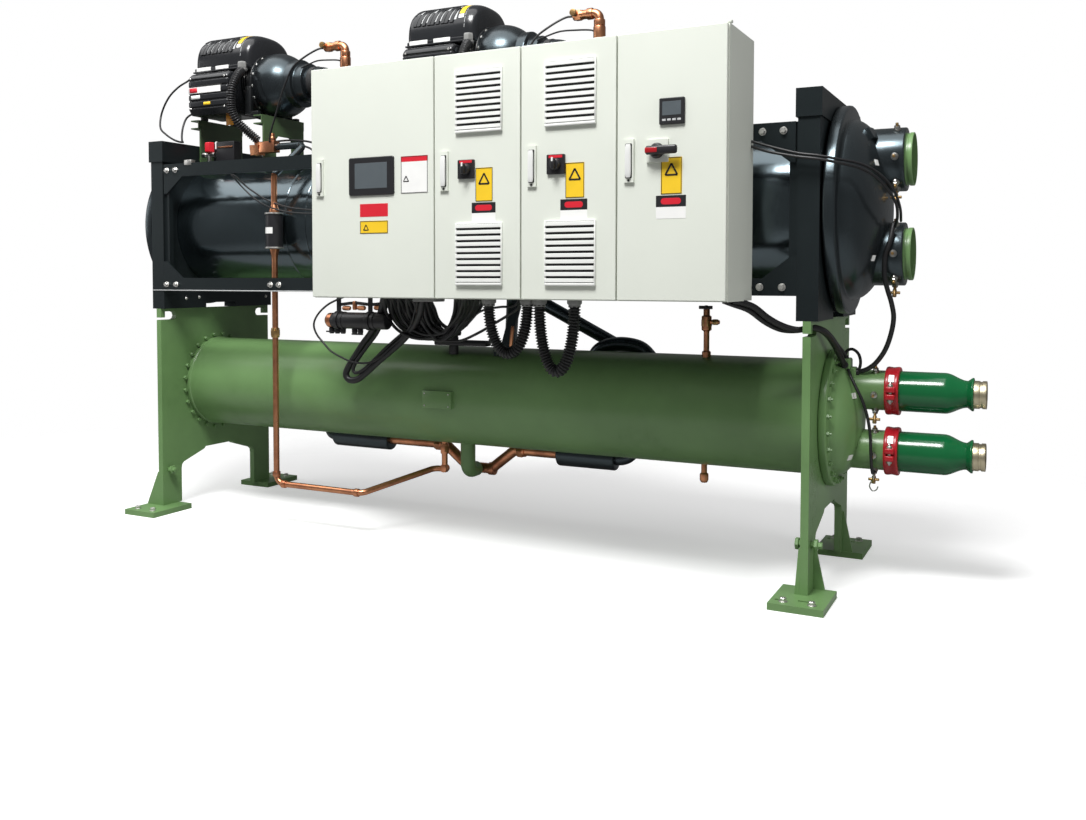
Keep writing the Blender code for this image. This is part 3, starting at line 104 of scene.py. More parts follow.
class Paint:
    # one material; node() makes any node from its type, its settings and the values or links of its sockets
    def __init__(self, name, colour=(0.8, 0.8, 0.8), roughness=0.5, metallic=0.0, **fixed):
        self.material = bpy.data.materials.new(name)
        self.material.use_nodes = True
        self.tree = self.material.node_tree
        self.shader = self.tree.nodes["Principled BSDF"]
        self.set("Base Color", (*colour, 1))
        self.set("Roughness", roughness)
        self.set("Metallic", metallic)
        for socket, value in fixed.items():
            self.set(socket.replace("_", " "), value)
        self.material.diffuse_color = (*colour, 1)

    def put(self, socket, value):
        if isinstance(value, Wire):
            self.tree.links.new(value.socket, socket)
        else:
            socket.default_value = value

    def set(self, socket, value):
        self.put(self.shader.inputs[socket], value)

    def node(self, kind, settings=None, sockets=None, output=0):
        made = self.tree.nodes.new(kind)
        for key, value in (settings or {}).items():
            if key == "stops":
                ramp = made.color_ramp.elements
                while len(ramp) < len(value):
                    ramp.new(1.0)
                for stop, (place, shade) in zip(ramp, value):
                    stop.position = place
                    stop.color = (shade, shade, shade, 1) if isinstance(shade, float) else (*shade, 1)
            else:
                setattr(made, key, value)
        for key, value in (sockets or {}).items():
            self.put(made.inputs[key], value)
        return Wire(self, made.outputs[output])

    def maths(self, operation, first, second=0.0):
        return self.node("ShaderNodeMath", {"operation": operation}, {0: first, 1: second})

    def place(self, kind="Object"):
        return self.node("ShaderNodeTexCoord", {}, {}, kind)

    def axes(self, where=None):
        split = self.node("ShaderNodeSeparateXYZ", {}, {0: where or self.place()})
        return [Wire(self, output) for output in split.socket.node.outputs]

    def noise(self, scale, detail=3.0, rough=0.55, where=None):
        return self.node(
            "ShaderNodeTexNoise",
            {},
            {"Vector": where or self.place(), "Scale": scale, "Detail": detail, "Roughness": rough},
        )

    def ramp(self, value, *stops):
        return self.node("ShaderNodeValToRGB", {"stops": stops}, {0: value})

    def mix(self, share, first, second):
        def shade(colour):
            return colour if isinstance(colour, Wire) else (*colour[:3], 1)

        return self.node(
            "ShaderNodeMix",
            {"data_type": "RGBA"},
            {0: share, 6: shade(first), 7: shade(second)},
            2,
        )

    def bump(self, height, strength, distance, under=None):
        sockets = {"Height": height, "Strength": strength, "Distance": distance}
        if under:
            sockets["Normal"] = under
        return self.node("ShaderNodeBump", {}, sockets)


lamps = {
    "key": {"place": (2.4, -3.7, 7.4), "aim": (1.8, 0.1, 1.3), "size": (2.6, 1.9), "watts": 600},
    "ceiling": {"place": (-0.3, -1.9, 6.4), "aim": (-0.3, -1.9, 0.0), "size": (9.5, 5.8), "watts": 380},
    "left": {"place": (-4.2, -2.4, 2.6), "aim": (0.6, 0.2, 1.3), "size": (1.2, 3.0), "watts": 26},
    "right": {"place": (6.8, -0.9, 1.7), "aim": (3.6, 0.3, 0.9), "size": (1.6, 2.4), "watts": 40},
}

for name, lamp in lamps.items():
    lampData = bpy.data.lights.new(name, "AREA")
    lampData.shape = "RECTANGLE"
    lampData.size, lampData.size_y = lamp["size"]
    lampData.energy = lamp["watts"]
    light = bpy.data.objects.new(name, lampData)
    light.location = lamp["place"]
    light.visible_glossy = name != "right"
    light.rotation_euler = (Vector(lamp["aim"]) - light.location).to_track_quat("-Z", "Y").to_euler()
    bpy.context.scene.collection.objects.link(light)

backdrop = {"ambient": 0.16, "white": 1.0, "seen": (1.0, 1.0, 1.0)}

world = bpy.data.worlds.new("studio")
bpy.context.scene.world = world
world.use_nodes = True
worldTree = world.node_tree
skyNode = worldTree.nodes["Background"]
skyNode.inputs["Color"].default_value = (*backdrop["seen"], 1)
rays = worldTree.nodes.new("ShaderNodeLightPath")
seen = worldTree.nodes.new("ShaderNodeMath")
seen.operation = "MAXIMUM"
worldTree.links.new(rays.outputs["Is Camera Ray"], seen.inputs[0])
worldTree.links.new(rays.outputs["Is Transmission Ray"], seen.inputs[1])
level = worldTree.nodes.new("ShaderNodeMapRange")
level.inputs["To Min"].default_value = backdrop["ambient"]
level.inputs["To Max"].default_value = backdrop["white"]
worldTree.links.new(seen.outputs[0], level.inputs["Value"])
worldTree.links.new(level.outputs[0], skyNode.inputs["Strength"])


# shapes: every surface is a grid of points worked out as whole arrays

def gridMesh(name, grid, loopU=False, loopV=False, sharp=35):
    # grid[i, j] is the point at the i-th step of u and the j-th of v; a loop joins the last step to the first
    rows, columns = grid.shape[:2]
    index = np.arange(rows * columns).reshape(rows, columns)
    if loopU:
        index = np.vstack([index, index[:1]])
    if loopV:
        index = np.hstack([index, index[:, :1]])
    faces = np.stack([index[:-1, :-1], index[1:, :-1], index[1:, 1:], index[:-1, 1:]], -1).reshape(-1, 4)
    return facesMesh(name, grid.reshape(-1, 3), faces, sharp)


def facesMesh(name, points, faces, sharp=35):
    mesh = bpy.data.meshes.new(name)
    mesh.from_pydata(np.asarray(points, float).tolist(), [], np.asarray(faces).tolist())
    shape = bmesh.new()
    shape.from_mesh(mesh)
    bmesh.ops.remove_doubles(shape, verts=shape.verts, dist=1e-6)
    bmesh.ops.dissolve_degenerate(shape, edges=shape.edges, dist=1e-7)
    bmesh.ops.recalc_face_normals(shape, faces=shape.faces)
    shape.to_mesh(mesh)
    shape.free()
    mesh.shade_smooth()
    mesh.set_sharp_from_angle(angle=math.radians(sharp))
    return mesh


def piece(name, mesh, paint, body="frame", node=None):
    # the mesh as a finished object that rides on a body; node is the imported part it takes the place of
    made = bpy.data.objects.new(name, mesh)
    bpy.context.scene.collection.objects.link(made)
    mesh.materials.append(paint.material)
    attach(made, body)
    if node:
        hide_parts(node)
    return made


def joined(name, meshes, paint, body="frame", node=None):
    # several closed surfaces as one piece
    shape = bmesh.new()
    for mesh in meshes:
        shape.from_mesh(mesh)
    whole = bpy.data.meshes.new(name)
    shape.to_mesh(whole)
    shape.free()
    whole.shade_smooth()
    whole.set_sharp_from_angle(angle=math.radians(35))
    return piece(name, whole, paint, body, node)


def frameOf(direction):
    # two unit vectors across a direction
    along = np.asarray(direction, float) / np.linalg.norm(direction)
    side = np.cross(along, (0, 0, 1.0) if abs(along[2]) < 0.9 else (0, 1.0, 0))
    side /= np.linalg.norm(side)
    return along, side, np.cross(along, side)


def eased(profile, radius, steps=3):
    # a profile with each corner cut by a short arc: a quadratic curve between points one radius from the corner
    profile = np.asarray(profile, float)
    kept = [profile[:1]]
    share = np.linspace(0, 1, steps + 1)[:, None]
    for before, corner, after in zip(profile, profile[1:], profile[2:]):
        one, two = before - corner, after - corner
        lengths = np.linalg.norm(one), np.linalg.norm(two)
        if min(lengths) < 1e-9:
            continue
        reach = min(radius, 0.45 * lengths[0], 0.45 * lengths[1])
        first, last = corner + one / lengths[0] * reach, corner + two / lengths[1] * reach
        kept.append((1 - share) ** 2 * first + 2 * share * (1 - share) * corner + share**2 * last)
    return np.vstack([*kept, profile[-1:]])


def turned(name, profile, start, direction, count=72, sharp=35, closed=False):
    # (radius, distance) pairs turned about an axis: start + distance * along + radius * (cos u * side + sin u * up)
    along, side, up = frameOf(direction)
    profile = np.asarray(profile, float)
    angle = np.linspace(0, 2 * np.pi, count, endpoint=False)[None, :, None]
    radius, distance = profile[:, 0, None, None], profile[:, 1, None, None]
    grid = np.asarray(start, float) + distance * along + radius * (np.cos(angle) * side + np.sin(angle) * up)
    return gridMesh(name, grid, loopU=closed, loopV=True, sharp=sharp)


def peg(name, radius, low, high, ease, steps, place, direction, count=72, sharp=35):
    # a round stub between two distances along its axis, its edges eased
    profile = eased([(0, high), (radius, high), (radius, low), (0, low)], ease, steps)
    return turned(name, profile, place, direction, count, sharp)


def lathe(name, profile, ease, steps, place, direction, count=72, sharp=35):
    # the same from radius, distance, radius, distance and so on in millimetres, each corner eased
    return turned(name, eased(np.reshape(profile, (-1, 2)) / 1000, ease, steps), place, direction, count, sharp)


def swept(name, path, radius, count=20, sharp=40):
    # a circle carried along a path: path + radius * (cos u * side + sin u * up), with side carried on without twist
    path = np.asarray(path, float)
    steps = np.diff(path, axis=0)
    tangent = np.vstack(
        [
            steps[:1],
            steps[1:] / np.linalg.norm(steps[1:], axis=1, keepdims=True) + steps[:-1] / np.linalg.norm(
                steps[:-1], axis=1, keepdims=True
            ),
            steps[-1:],
        ]
    )
    tangent /= np.linalg.norm(tangent, axis=1, keepdims=True)
    sides = [frameOf(tangent[0])[1]]
    for along in tangent[1:]:
        side = sides[-1] - along * np.dot(sides[-1], along)
        sides.append(side / np.linalg.norm(side))
    sides = np.array(sides)
    ups = np.cross(tangent, sides)
    reach = np.broadcast_to(np.asarray(radius, float), (len(path),))[:, None, None]
    angle = np.linspace(0, 2 * np.pi, count, endpoint=False)[None, :, None]
    grid = path[:, None] + reach * (np.cos(angle) * sides[:, None] + np.sin(angle) * ups[:, None])
    tips = [np.broadcast_to(path[end], grid[:1].shape) for end in (0, -1)]
    return gridMesh(name, np.vstack([tips[0], grid, tips[1]]), loopV=True, sharp=sharp)


def bentPath(points, radius, steps=8):
    # straight runs joined by round bends
    points = [np.asarray(point, float) for point in points]
    path = [points[0][None]]
    for before, corner, after in zip(points, points[1:], points[2:]):
        one, two = before - corner, after - corner
        lengths = np.linalg.norm(one), np.linalg.norm(two)
        one, two = one / lengths[0], two / lengths[1]
        half = math.acos(np.clip(one @ two, -1, 1)) / 2
        reach = min(radius / math.tan(half), 0.49 * lengths[0], 0.49 * lengths[1])
        bend = reach * math.tan(half)
        centre = corner + (one + two) / np.linalg.norm(one + two) * bend / math.sin(half)
        first, last = corner + one * reach - centre, corner + two * reach - centre
        turn = math.acos(np.clip(first @ last / bend**2, -1, 1))
        share = np.linspace(0, 1, steps + 1)[:, None]
        path.append(centre + (first * np.sin((1 - share) * turn) + last * np.sin(share * turn)) / math.sin(turn))
    return np.vstack([*path, points[-1][None]])


def mm(*values):
    # x, y, z after x, y, z in millimetres, as points in metres
    return np.reshape(values, (-1, 3)) / 1000


def curvedPath(points, count=32):
    # a smooth path through the points: a Catmull-Rom curve, then spaced evenly along its length
    points = np.asarray(points, float)
    points = np.vstack([2 * points[0] - points[1], points, 2 * points[-1] - points[-2]])
    share = np.linspace(0, 1, 24, endpoint=False)[:, None]
    runs = []
    for a, b, c, d in zip(points, points[1:], points[2:], points[3:]):
        runs.append(
            0.5 * (
                2 * b + (c - a) * share + (2 * a - 5 * b + 4 * c - d) * share**2 + (3 * b - a - 3 * c + d) * share**3
            )
        )
    path = np.vstack([*runs, points[-2:-1]])
    length = np.concatenate([[0], np.cumsum(np.linalg.norm(np.diff(path, axis=0), axis=1))])
    even = np.linspace(0, length[-1], count)
    return np.stack([np.interp(even, length, path[:, axis]) for axis in range(3)], -1)


def pathLength(path):
    # the sum of the distances from point to point
    return float(np.linalg.norm(np.diff(path, axis=0), axis=1).sum())


def roundBox(name, low, high, radius=0.004, steps=3):
    # a box whose edges and corners are round: each point of a cube grid is moved out from an inner box by one radius
    low, high = np.asarray(low, float), np.asarray(high, float)
    radius = min(radius, 0.49 * (high - low).min())
    ticks = np.tan(np.linspace(-np.pi / 4, np.pi / 4, 2 * steps + 1))
    a, b = np.meshgrid(ticks, ticks, indexing="ij")
    one = np.ones_like(a)
    points, faces = [], []
    size = len(ticks)
    index = np.arange(size * size).reshape(size, size)
    quads = np.stack([index[:-1, :-1], index[1:, :-1], index[1:, 1:], index[:-1, 1:]], -1).reshape(-1, 4)
    inner = (high - low) / 2 - radius
    middle = (high + low) / 2
    for axis in range(3):
        for sign in (-1, 1):
            cube = np.stack([np.roll([one * sign, a, b], axis, axis=0)[k] for k in range(3)], -1).reshape(-1, 3)
            ball = cube / np.linalg.norm(cube, axis=1, keepdims=True)
            spread = np.where(np.abs(cube) < 1e-9, 0, np.sign(cube))
            points.append(middle + inner * spread + radius * ball)
            faces.append(quads + size * size * (len(points) - 1))
    return facesMesh(name, np.vstack(points), np.vstack(faces), sharp=80)


def box(name, low, high):
    # a plain box from its two corners
    low, high = np.asarray(low, float), np.asarray(high, float)
    corners = np.array([[x, y, z] for x in (0, 1) for y in (0, 1) for z in (0, 1)])
    faces = [[0, 1, 3, 2], [4, 6, 7, 5], [0, 4, 5, 1], [2, 3, 7, 6], [0, 2, 6, 4], [1, 5, 7, 3]]
    return facesMesh(name, low + corners * (high - low), faces, sharp=20)


def solidMesh(name, points, faces, sharp=None):
    # faces as given, turned outwards, flat unless an angle is given
    mesh = bpy.data.meshes.new(name)
    mesh.from_pydata(points.tolist(), [], faces)
    shape = bmesh.new()
    shape.from_mesh(mesh)
    bmesh.ops.recalc_face_normals(shape, faces=shape.faces)
    shape.to_mesh(mesh)
    shape.free()
    if sharp:
        mesh.shade_smooth()
        mesh.set_sharp_from_angle(angle=math.radians(sharp))
    return mesh


def hexBolts(name, places, direction, across=0.024, height=0.012, stud=0.0):
    # one mesh of hexagon heads: six sides, a chamfered top and, where there is one, a stud through the middle
    along, side, up = frameOf(direction)
    angle = np.linspace(0, 2 * np.pi, 6, endpoint=False)[:, None]
    flat = np.cos(angle) * side + np.sin(angle) * up
    radius = across / math.sqrt(3)
    rings = [(radius, 0), (radius, height * 0.86), (radius * 0.86, height)]
    if stud:
        rings += [(radius * 0.5, height), (radius * 0.5, height + stud), (radius * 0.42, height + stud + 0.001)]
    shape = np.vstack([flat * r + along * h for r, h in rings] + [along[None] * rings[-1][1], along[None] * 0])
    count = len(rings)
    ring = np.arange(6)
    nextRing = np.roll(ring, -1)
    faces = []
    for level in range(count - 1):
        faces += np.stack([ring, nextRing, nextRing + 6, ring + 6], -1).__add__(6 * level).tolist()
    tip, base = 6 * count, 6 * count + 1
    ends = [
        [6 * (count - 1) + a, 6 * (count - 1) + b, tip] for a, b in zip(ring, nextRing)
    ] + [[b, a, base] for a, b in zip(ring, nextRing)]
    places = np.asarray(places, float)
    points = (places[:, None] + shape[None]).reshape(-1, 3)
    moves = np.arange(len(places)) * len(shape)
    allFaces = [(np.array(face) + move).tolist() for move in moves for face in faces + ends]
    return solidMesh(name, points, allFaces, 30)


def ringOf(centre, radius, count, start=0.0):
    # points evenly round a circle across x: centre + radius * (cos u, sin u) in y and z
    angle = start + np.linspace(0, 2 * np.pi, count, endpoint=False)
    return np.asarray(centre, float) + np.stack(
        [np.zeros_like(angle), radius * np.cos(angle), radius * np.sin(angle)], -1
    )


# finishes

def enamel(name, colour, roughness, grain=900.0, depth=0.00012, dirt=0.10):
    # brushed or sprayed paint: fine orange peel, slow drifts of shade, a little more gloss where it is darker
    paint = Paint(name, colour, roughness)
    slow = paint.noise(2.2, 4.0)
    fine = paint.noise(grain, 2.0)
    dark = tuple(channel * (1 - dirt * 1.6) for channel in colour)
    light = tuple(min(1, channel * (1 + dirt)) for channel in colour)
    paint.set("Base Color", paint.mix(paint.ramp(slow, (0.3, 0.0), (0.7, 1.0)), dark, light))
    paint.set("Roughness", roughness + (slow - 0.5) * 0.16 + (fine - 0.5) * 0.06)
    wave = paint.bump(paint.noise(26.0, 2.0), 0.10, 0.002)
    paint.set("Normal", paint.bump(fine, 0.35, depth, wave))
    return paint


def foam(name, colour=(0.010, 0.012, 0.013), roughness=0.25, gloss=1.85):
    # closed-cell insulation sheet: soft hollows, fine cells, a faint grey bloom
    paint = Paint(name, colour, roughness)
    slow = paint.noise(3.4, 4.0)
    cells = paint.noise(420.0, 3.0)
    paint.set(
        "Base Color",
        paint.mix(paint.ramp(slow, (0.35, 0.0), (0.75, 1.0)), colour, tuple(c * 1.4 + 0.001 for c in colour)),
    )
    paint.set("Roughness", roughness + (slow - 0.5) * 0.14 + (cells - 0.5) * 0.08)
    paint.set("IOR", gloss)
    paint.set("Specular Tint", (0.62, 0.78, 0.86, 1))
    soft = paint.bump(paint.noise(5.5, 3.0), 0.25, 0.006)
    paint.set("Normal", paint.bump(cells, 0.22, 0.0004, soft))
    return paint


def casting(name, colour=(0.008, 0.0088, 0.0095), roughness=0.30):
    # painted rough casting
    paint = Paint(name, colour, roughness)
    grit = paint.noise(240.0, 4.0, 0.7)
    slow = paint.noise(5.0, 3.0)
    paint.set("Base Color", paint.mix(slow, colour, tuple(c * 1.8 for c in colour)))
    paint.set("Roughness", roughness + (grit - 0.5) * 0.25)
    paint.set("Normal", paint.bump(grit, 0.45, 0.0011))
    return paint


def metal(name, colour, roughness, stain=None):
    # bare metal with fine scratches and, where given, a stain in patches
    paint = Paint(name, colour, roughness, 1.0)
    patches = paint.noise(9.0, 5.0, 0.62)
    fine = paint.noise(720.0, 2.0)
    if stain:
        paint.set("Base Color", paint.mix(paint.ramp(patches, (0.42, 0.0), (0.68, 1.0)), colour, stain))
    else:
        paint.set("Base Color", paint.mix(patches, colour, tuple(c * 0.82 for c in colour)))
    paint.set("Roughness", roughness + (patches - 0.5) * 0.28 + (fine - 0.5) * 0.10)
    paint.set("Normal", paint.bump(fine, 0.12, 0.0004))
    return paint


def plastic(name, colour, roughness, grain=700.0):
    # moulded plastic, rubber and printed plates: fine grain and a slow drift of shade
    paint = Paint(name, colour, roughness)
    fine = paint.noise(grain, 2.0)
    slow = paint.noise(8.0, 2.0)
    paint.set("Base Color", paint.mix(slow, colour, tuple(c * 1.25 + 0.002 for c in colour)))
    paint.set("Roughness", roughness + (fine - 0.5) * 0.14)
    paint.set("Normal", paint.bump(fine, 0.18, 0.0003))
    return paint


def ribbedRubber(name, pitch, colour=(0.013, 0.013, 0.014)):
    # corrugated hose: the ribs follow the hose's own length, kept in an attribute
    paint = Paint(name, colour, 0.36)
    along = paint.node("ShaderNodeAttribute", {"attribute_name": "along"}, {}, "Fac")
    wave = paint.maths("SINE", along * (2 * math.pi / pitch))
    paint.set("Roughness", 0.36 - wave * 0.10)
    # the colour is painted lighter on the rib crests and darker in the troughs: painted highlight and painted shade
    paint.set(
        "Base Color", paint.mix(wave * 0.5 + 0.5, tuple(c * 0.5 for c in colour), tuple(c * 1.9 for c in colour))
    )
    return paint


greenPaint = enamel("greenPaint", (0.162, 0.296, 0.112), 0.30)
# the supports' green, darker than greenPaint: painted shade from the compressors above them
shadedSupportGreen = enamel("supportGreenPaintedShade", (0.075, 0.130, 0.055), 0.34)
gloss = enamel("darkGreenEnamel", (0.006, 0.118, 0.036), 0.16, 400.0, 0.0002, 0.05)
foamBlack = foam("foamInsulation")
shellFoam = foam("shellInsulation", (0.006, 0.0085, 0.0095), 0.18, 2.3)
railBlack = enamel("railPaint", (0.010, 0.013, 0.014), 0.42)
railBlack.set("Specular Tint", (0.50, 0.62, 0.66, 1))
castBlack = casting("castingPaint")
cabinetPaint = enamel("cabinetPaint", (0.735, 0.765, 0.690), 0.42, 1500.0, 0.00008, 0.015)
ventPaint = enamel("ventPaint", (0.84, 0.85, 0.82), 0.45, 1300.0, 0.00008, 0.02)
zinc = metal("zincPlate", (0.80, 0.79, 0.76), 0.42)
yellowZinc = metal("yellowZinc", (0.74, 0.66, 0.46), 0.36)
leverPaint = plastic("leverPaint", (0.67, 0.675, 0.66), 0.30)
steel = metal("plainSteel", (0.56, 0.55, 0.52), 0.30)
chrome = metal("satinChrome", (0.72, 0.72, 0.70), 0.22)
copper = metal("copperTube", (0.80, 0.36, 0.19), 0.33, (0.46, 0.185, 0.105))
brass = metal("brassFitting", (0.62, 0.40, 0.17), 0.34, (0.42, 0.25, 0.12))
redPaint = enamel("redEnamel", (0.40, 0.010, 0.016), 0.30, 700.0, 0.00015, 0.08)
blackPlastic = plastic("blackPlastic", (0.014, 0.014, 0.016), 0.38)
cableRubber = plastic("cableSheath", (0.011, 0.011, 0.012), 0.42, 300.0)
hoseRubber = ribbedRubber("corrugatedHose", 0.0125)
greyPlastic = plastic("greyGland", (0.20, 0.20, 0.195), 0.42)
whitePlate = plastic("whitePlate", (0.78, 0.78, 0.76), 0.40)
yellowPlate = plastic("yellowPlate", (0.80, 0.52, 0.02), 0.40)
couplingRed = enamel("couplingRed", (0.42, 0.012, 0.020), 0.28, 700.0, 0.0002, 0.08)
redPlate = plastic("redPlate", (0.60, 0.015, 0.03), 0.38)
orangePlastic = plastic("orangePlastic", (0.80, 0.33, 0.03), 0.45)
screenGlass = plastic("screenGlass", (0.085, 0.10, 0.11), 0.10, 200.0)
glossBlack = plastic("glossyHood", (0.013, 0.014, 0.016), 0.20, 500.0)
paleFilm = plastic("paleFilm", (0.46, 0.47, 0.47), 0.24)
gasket = plastic("rubberGasket", (0.02, 0.02, 0.021), 0.6)
shadePaint = plastic("ventShade", (0.018, 0.018, 0.018), 0.6)
domeFoam = foam("domeFoam", (0.008, 0.009, 0.010), 0.27)
print("finishes made")


# cords and hoses

cords = {
    "conduits": {"diameter": 0.054, "rib": 0.0125, "depth": 0.0038, "setback": 0.15},
    "loops": ((2.25, 0.19, 0.24), (2.485, 0.165, 0.31)),
}


def corrugated(name, path, diameter, pitch, depth):
    # ribs along the hose: radius + depth * shaped sine of the distance, sampled seven times a rib
    length = pathLength(path)
    steps = int(length / pitch * 7)
    distance = np.concatenate([[0], np.cumsum(np.linalg.norm(np.diff(path, axis=0), axis=1))])
    even = np.linspace(0, length, steps)
    fine = np.stack([np.interp(even, distance, path[:, axis]) for axis in range(3)], -1)
    wave = np.sin(2 * np.pi * even / pitch)
    radius = diameter / 2 - depth + depth * np.sign(wave) * np.abs(wave) ** 0.6
    mesh = swept(name, fine, radius, 24, 60)
    made = piece(name, mesh, hoseRubber, "frame")
    points = np.empty(len(mesh.vertices) * 3)
    mesh.vertices.foreach_get("co", points)
    points = points.reshape(-1, 3)
    nearest = np.empty(len(points))
    for part in np.array_split(np.arange(len(points)), 1 + len(points) // 2000):
        gaps = ((points[part][:, None] - fine[None]) ** 2).sum(-1)
        nearest[part] = even[gaps.argmin(1)]
    store = mesh.attributes.new("along", "FLOAT", "POINT")
    store.data.foreach_set("value", nearest.astype(np.float32))
    return made


def cable(name, points, diameter):
    # a smooth round cable through the points
    path = curvedPath(points, 6 * len(points))
    made = piece(name, swept(name, path, diameter / 2, 10, 60), cableRubber, "frame")


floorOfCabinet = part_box("cabinet_body")[0].z
for number, (x, span, drop) in enumerate(cords["loops"], 1):
    values = cords["conduits"]
    turn = np.linspace(0, np.pi, 49)
    reach = floorOfCabinet - 0.0003
    arc = np.stack(
        [
            x - span / 2 * np.cos(turn), np.full_like(turn, -values["setback"]),
            reach - 0.03 - (drop - 0.03) * np.sin(turn),
        ],
        -1,
    )
    path = np.vstack([[x - span / 2, -values["setback"], reach], arc, [x + span / 2, -values["setback"], reach]])
    hose = corrugated(f"conduit_hose_{number}", path, values["diameter"], values["rib"], values["depth"])
    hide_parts(f"conduit_{number}")
print("cords made")


# shells

shells = {
    "condenser": {"wall": 0.010, "band": 0.005, "bandWidth": 0.022},
    "evaporator": {"wall": 0.010, "seams": (0.80, 0.935, 2.04, 2.95), "seamWidth": 0.010, "seamDepth": 0.0022},
}


def halfway(low, high):
    # x and z halfway between two corners
    return (low.x + high.x) / 2, (low.z + high.z) / 2


def tubeOf(node):
    # radius, y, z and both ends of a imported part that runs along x
    low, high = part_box(node)
    return (high.z - low.z) / 2, (low.y + high.y) / 2, (low.z + high.z) / 2, low.x, high.x


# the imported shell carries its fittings, so its radius comes from the plain back side
midY, condenserZ = tubeOf("evaporator_shell")[1], tubeOf("condenser_cover_left")[2]
start, end = (corner.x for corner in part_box("condenser_shell"))
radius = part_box("condenser_shell")[1].y - midY
band = shells["condenser"]
profile = eased(
    [
        (radius - band["wall"], end),
        (radius + band["band"], end),
        (radius + band["band"], end - band["bandWidth"]),
        (radius, end - band["bandWidth"] - 0.004),
        (radius, start + band["bandWidth"] + 0.004),
        (radius + band["band"], start + band["bandWidth"]),
        (radius + band["band"], start),
        (radius - band["wall"], start),
    ],
    0.0025,
)
piece(
    "condenser_shell_painted", turned("condenserShell", profile, (0, midY, condenserZ), (1, 0, 0), 128, closed=True),
    greenPaint, "frame", "condenser_shell",
)
condenserRadius = radius

radius, midY, evaporatorZ, start, end = tubeOf("evaporator_shell")
seam = shells["evaporator"]
outer = [(radius, start)]
for x in seam["seams"]:
    half = seam["seamWidth"] / 2
    outer += [
        (radius, x - half), (radius - seam["seamDepth"], x - half * 0.3),
        (radius - seam["seamDepth"], x + half * 0.3), (radius, x + half),
    ]
outer += [(radius, end), (radius - seam["wall"], end), (radius - seam["wall"], start)]
piece(
    "evaporator_shell_insulated",
    turned("evaporatorShell", eased(outer, 0.003), (0, midY, evaporatorZ), (1, 0, 0), 128, closed=True), shellFoam,
    "frame", "evaporator_shell",
)
evaporatorRadius = radius
print("shells made")


def dish(ringRadius, ring, dishRadius, depth, knuckle, count=26):
    # a flange ring and a shallow dish: radius * sin, depth * cos of one angle; knuckle rounds where it meets the ring
    turn = np.linspace(0, np.pi / 2, count)
    curve = np.stack([dishRadius * np.sin(turn), ring + depth * np.cos(turn)], -1)
    rim = eased(
        [(dishRadius + 0.001, ring + 0.02), (dishRadius + 0.001, ring), (ringRadius, ring), (ringRadius, 0), (0, 0)],
        knuckle,
    )
    return np.vstack([curve[:-2], rim[1:]])


heads = {
    "condenser": {"ring": 0.034, "dish": 0.245, "depth": 0.105, "knuckle": 0.008},
    "evaporator": {"ring": 0.048, "dish": 0.380, "depth": 0.155, "knuckle": 0.010},
    "evaporatorLeft": {"ring": 0.048, "dish": 0.380, "depth": 0.12, "knuckle": 0.010},
}

for node, key, paint, slotName, side in (
    ("condenser_cover_left", "condenser", greenPaint, "green_paint", -1),
    ("condenser_water_box", "condenser", greenPaint, "green_paint", 1),
    ("evaporator_cover_left", "evaporatorLeft", foamBlack, "black_insulation", -1),
    ("evaporator_water_box", "evaporator", foamBlack, "black_insulation", 1),
):
    values = heads[key]
    ringRadius, midY, height, low, high = tubeOf(node)
    face = low if side > 0 else high
    profile = dish(ringRadius, values["ring"], values["dish"], values["depth"], values["knuckle"])
    piece(
        f"{node}_finished", turned(node, profile, (face, midY, height), (side, 0, 0), 128, sharp=45), paint, "frame",
        node,
    )
print("heads made")


# water connections

connections = {
    "wall": 0.007,
    "evaporatorPipe": 0.219,
    "endLength": 0.028,
    "outlet": 0.114,
    "straight": 0.200,
    "taper": 0.085,
    "collar": 0.024,
    "collarLip": 0.011,
}


def pipeEnd(name, outside, wall, start, length, place, paint):
    # a short open pipe with a groove near its end
    r = outside / 2
    groove = [(r, length - 0.016), (r - 0.0032, length - 0.0165), (r - 0.0032, length - 0.0255), (r, length - 0.026)]
    profile = [(r - wall, length), (r, length), *groove, (r, 0), (r - wall, 0)]
    return piece(
        name, turned(name, eased(profile, 0.0012, 2), (start, *place), (1, 0, 0), 72, closed=True), paint, "frame",
    )


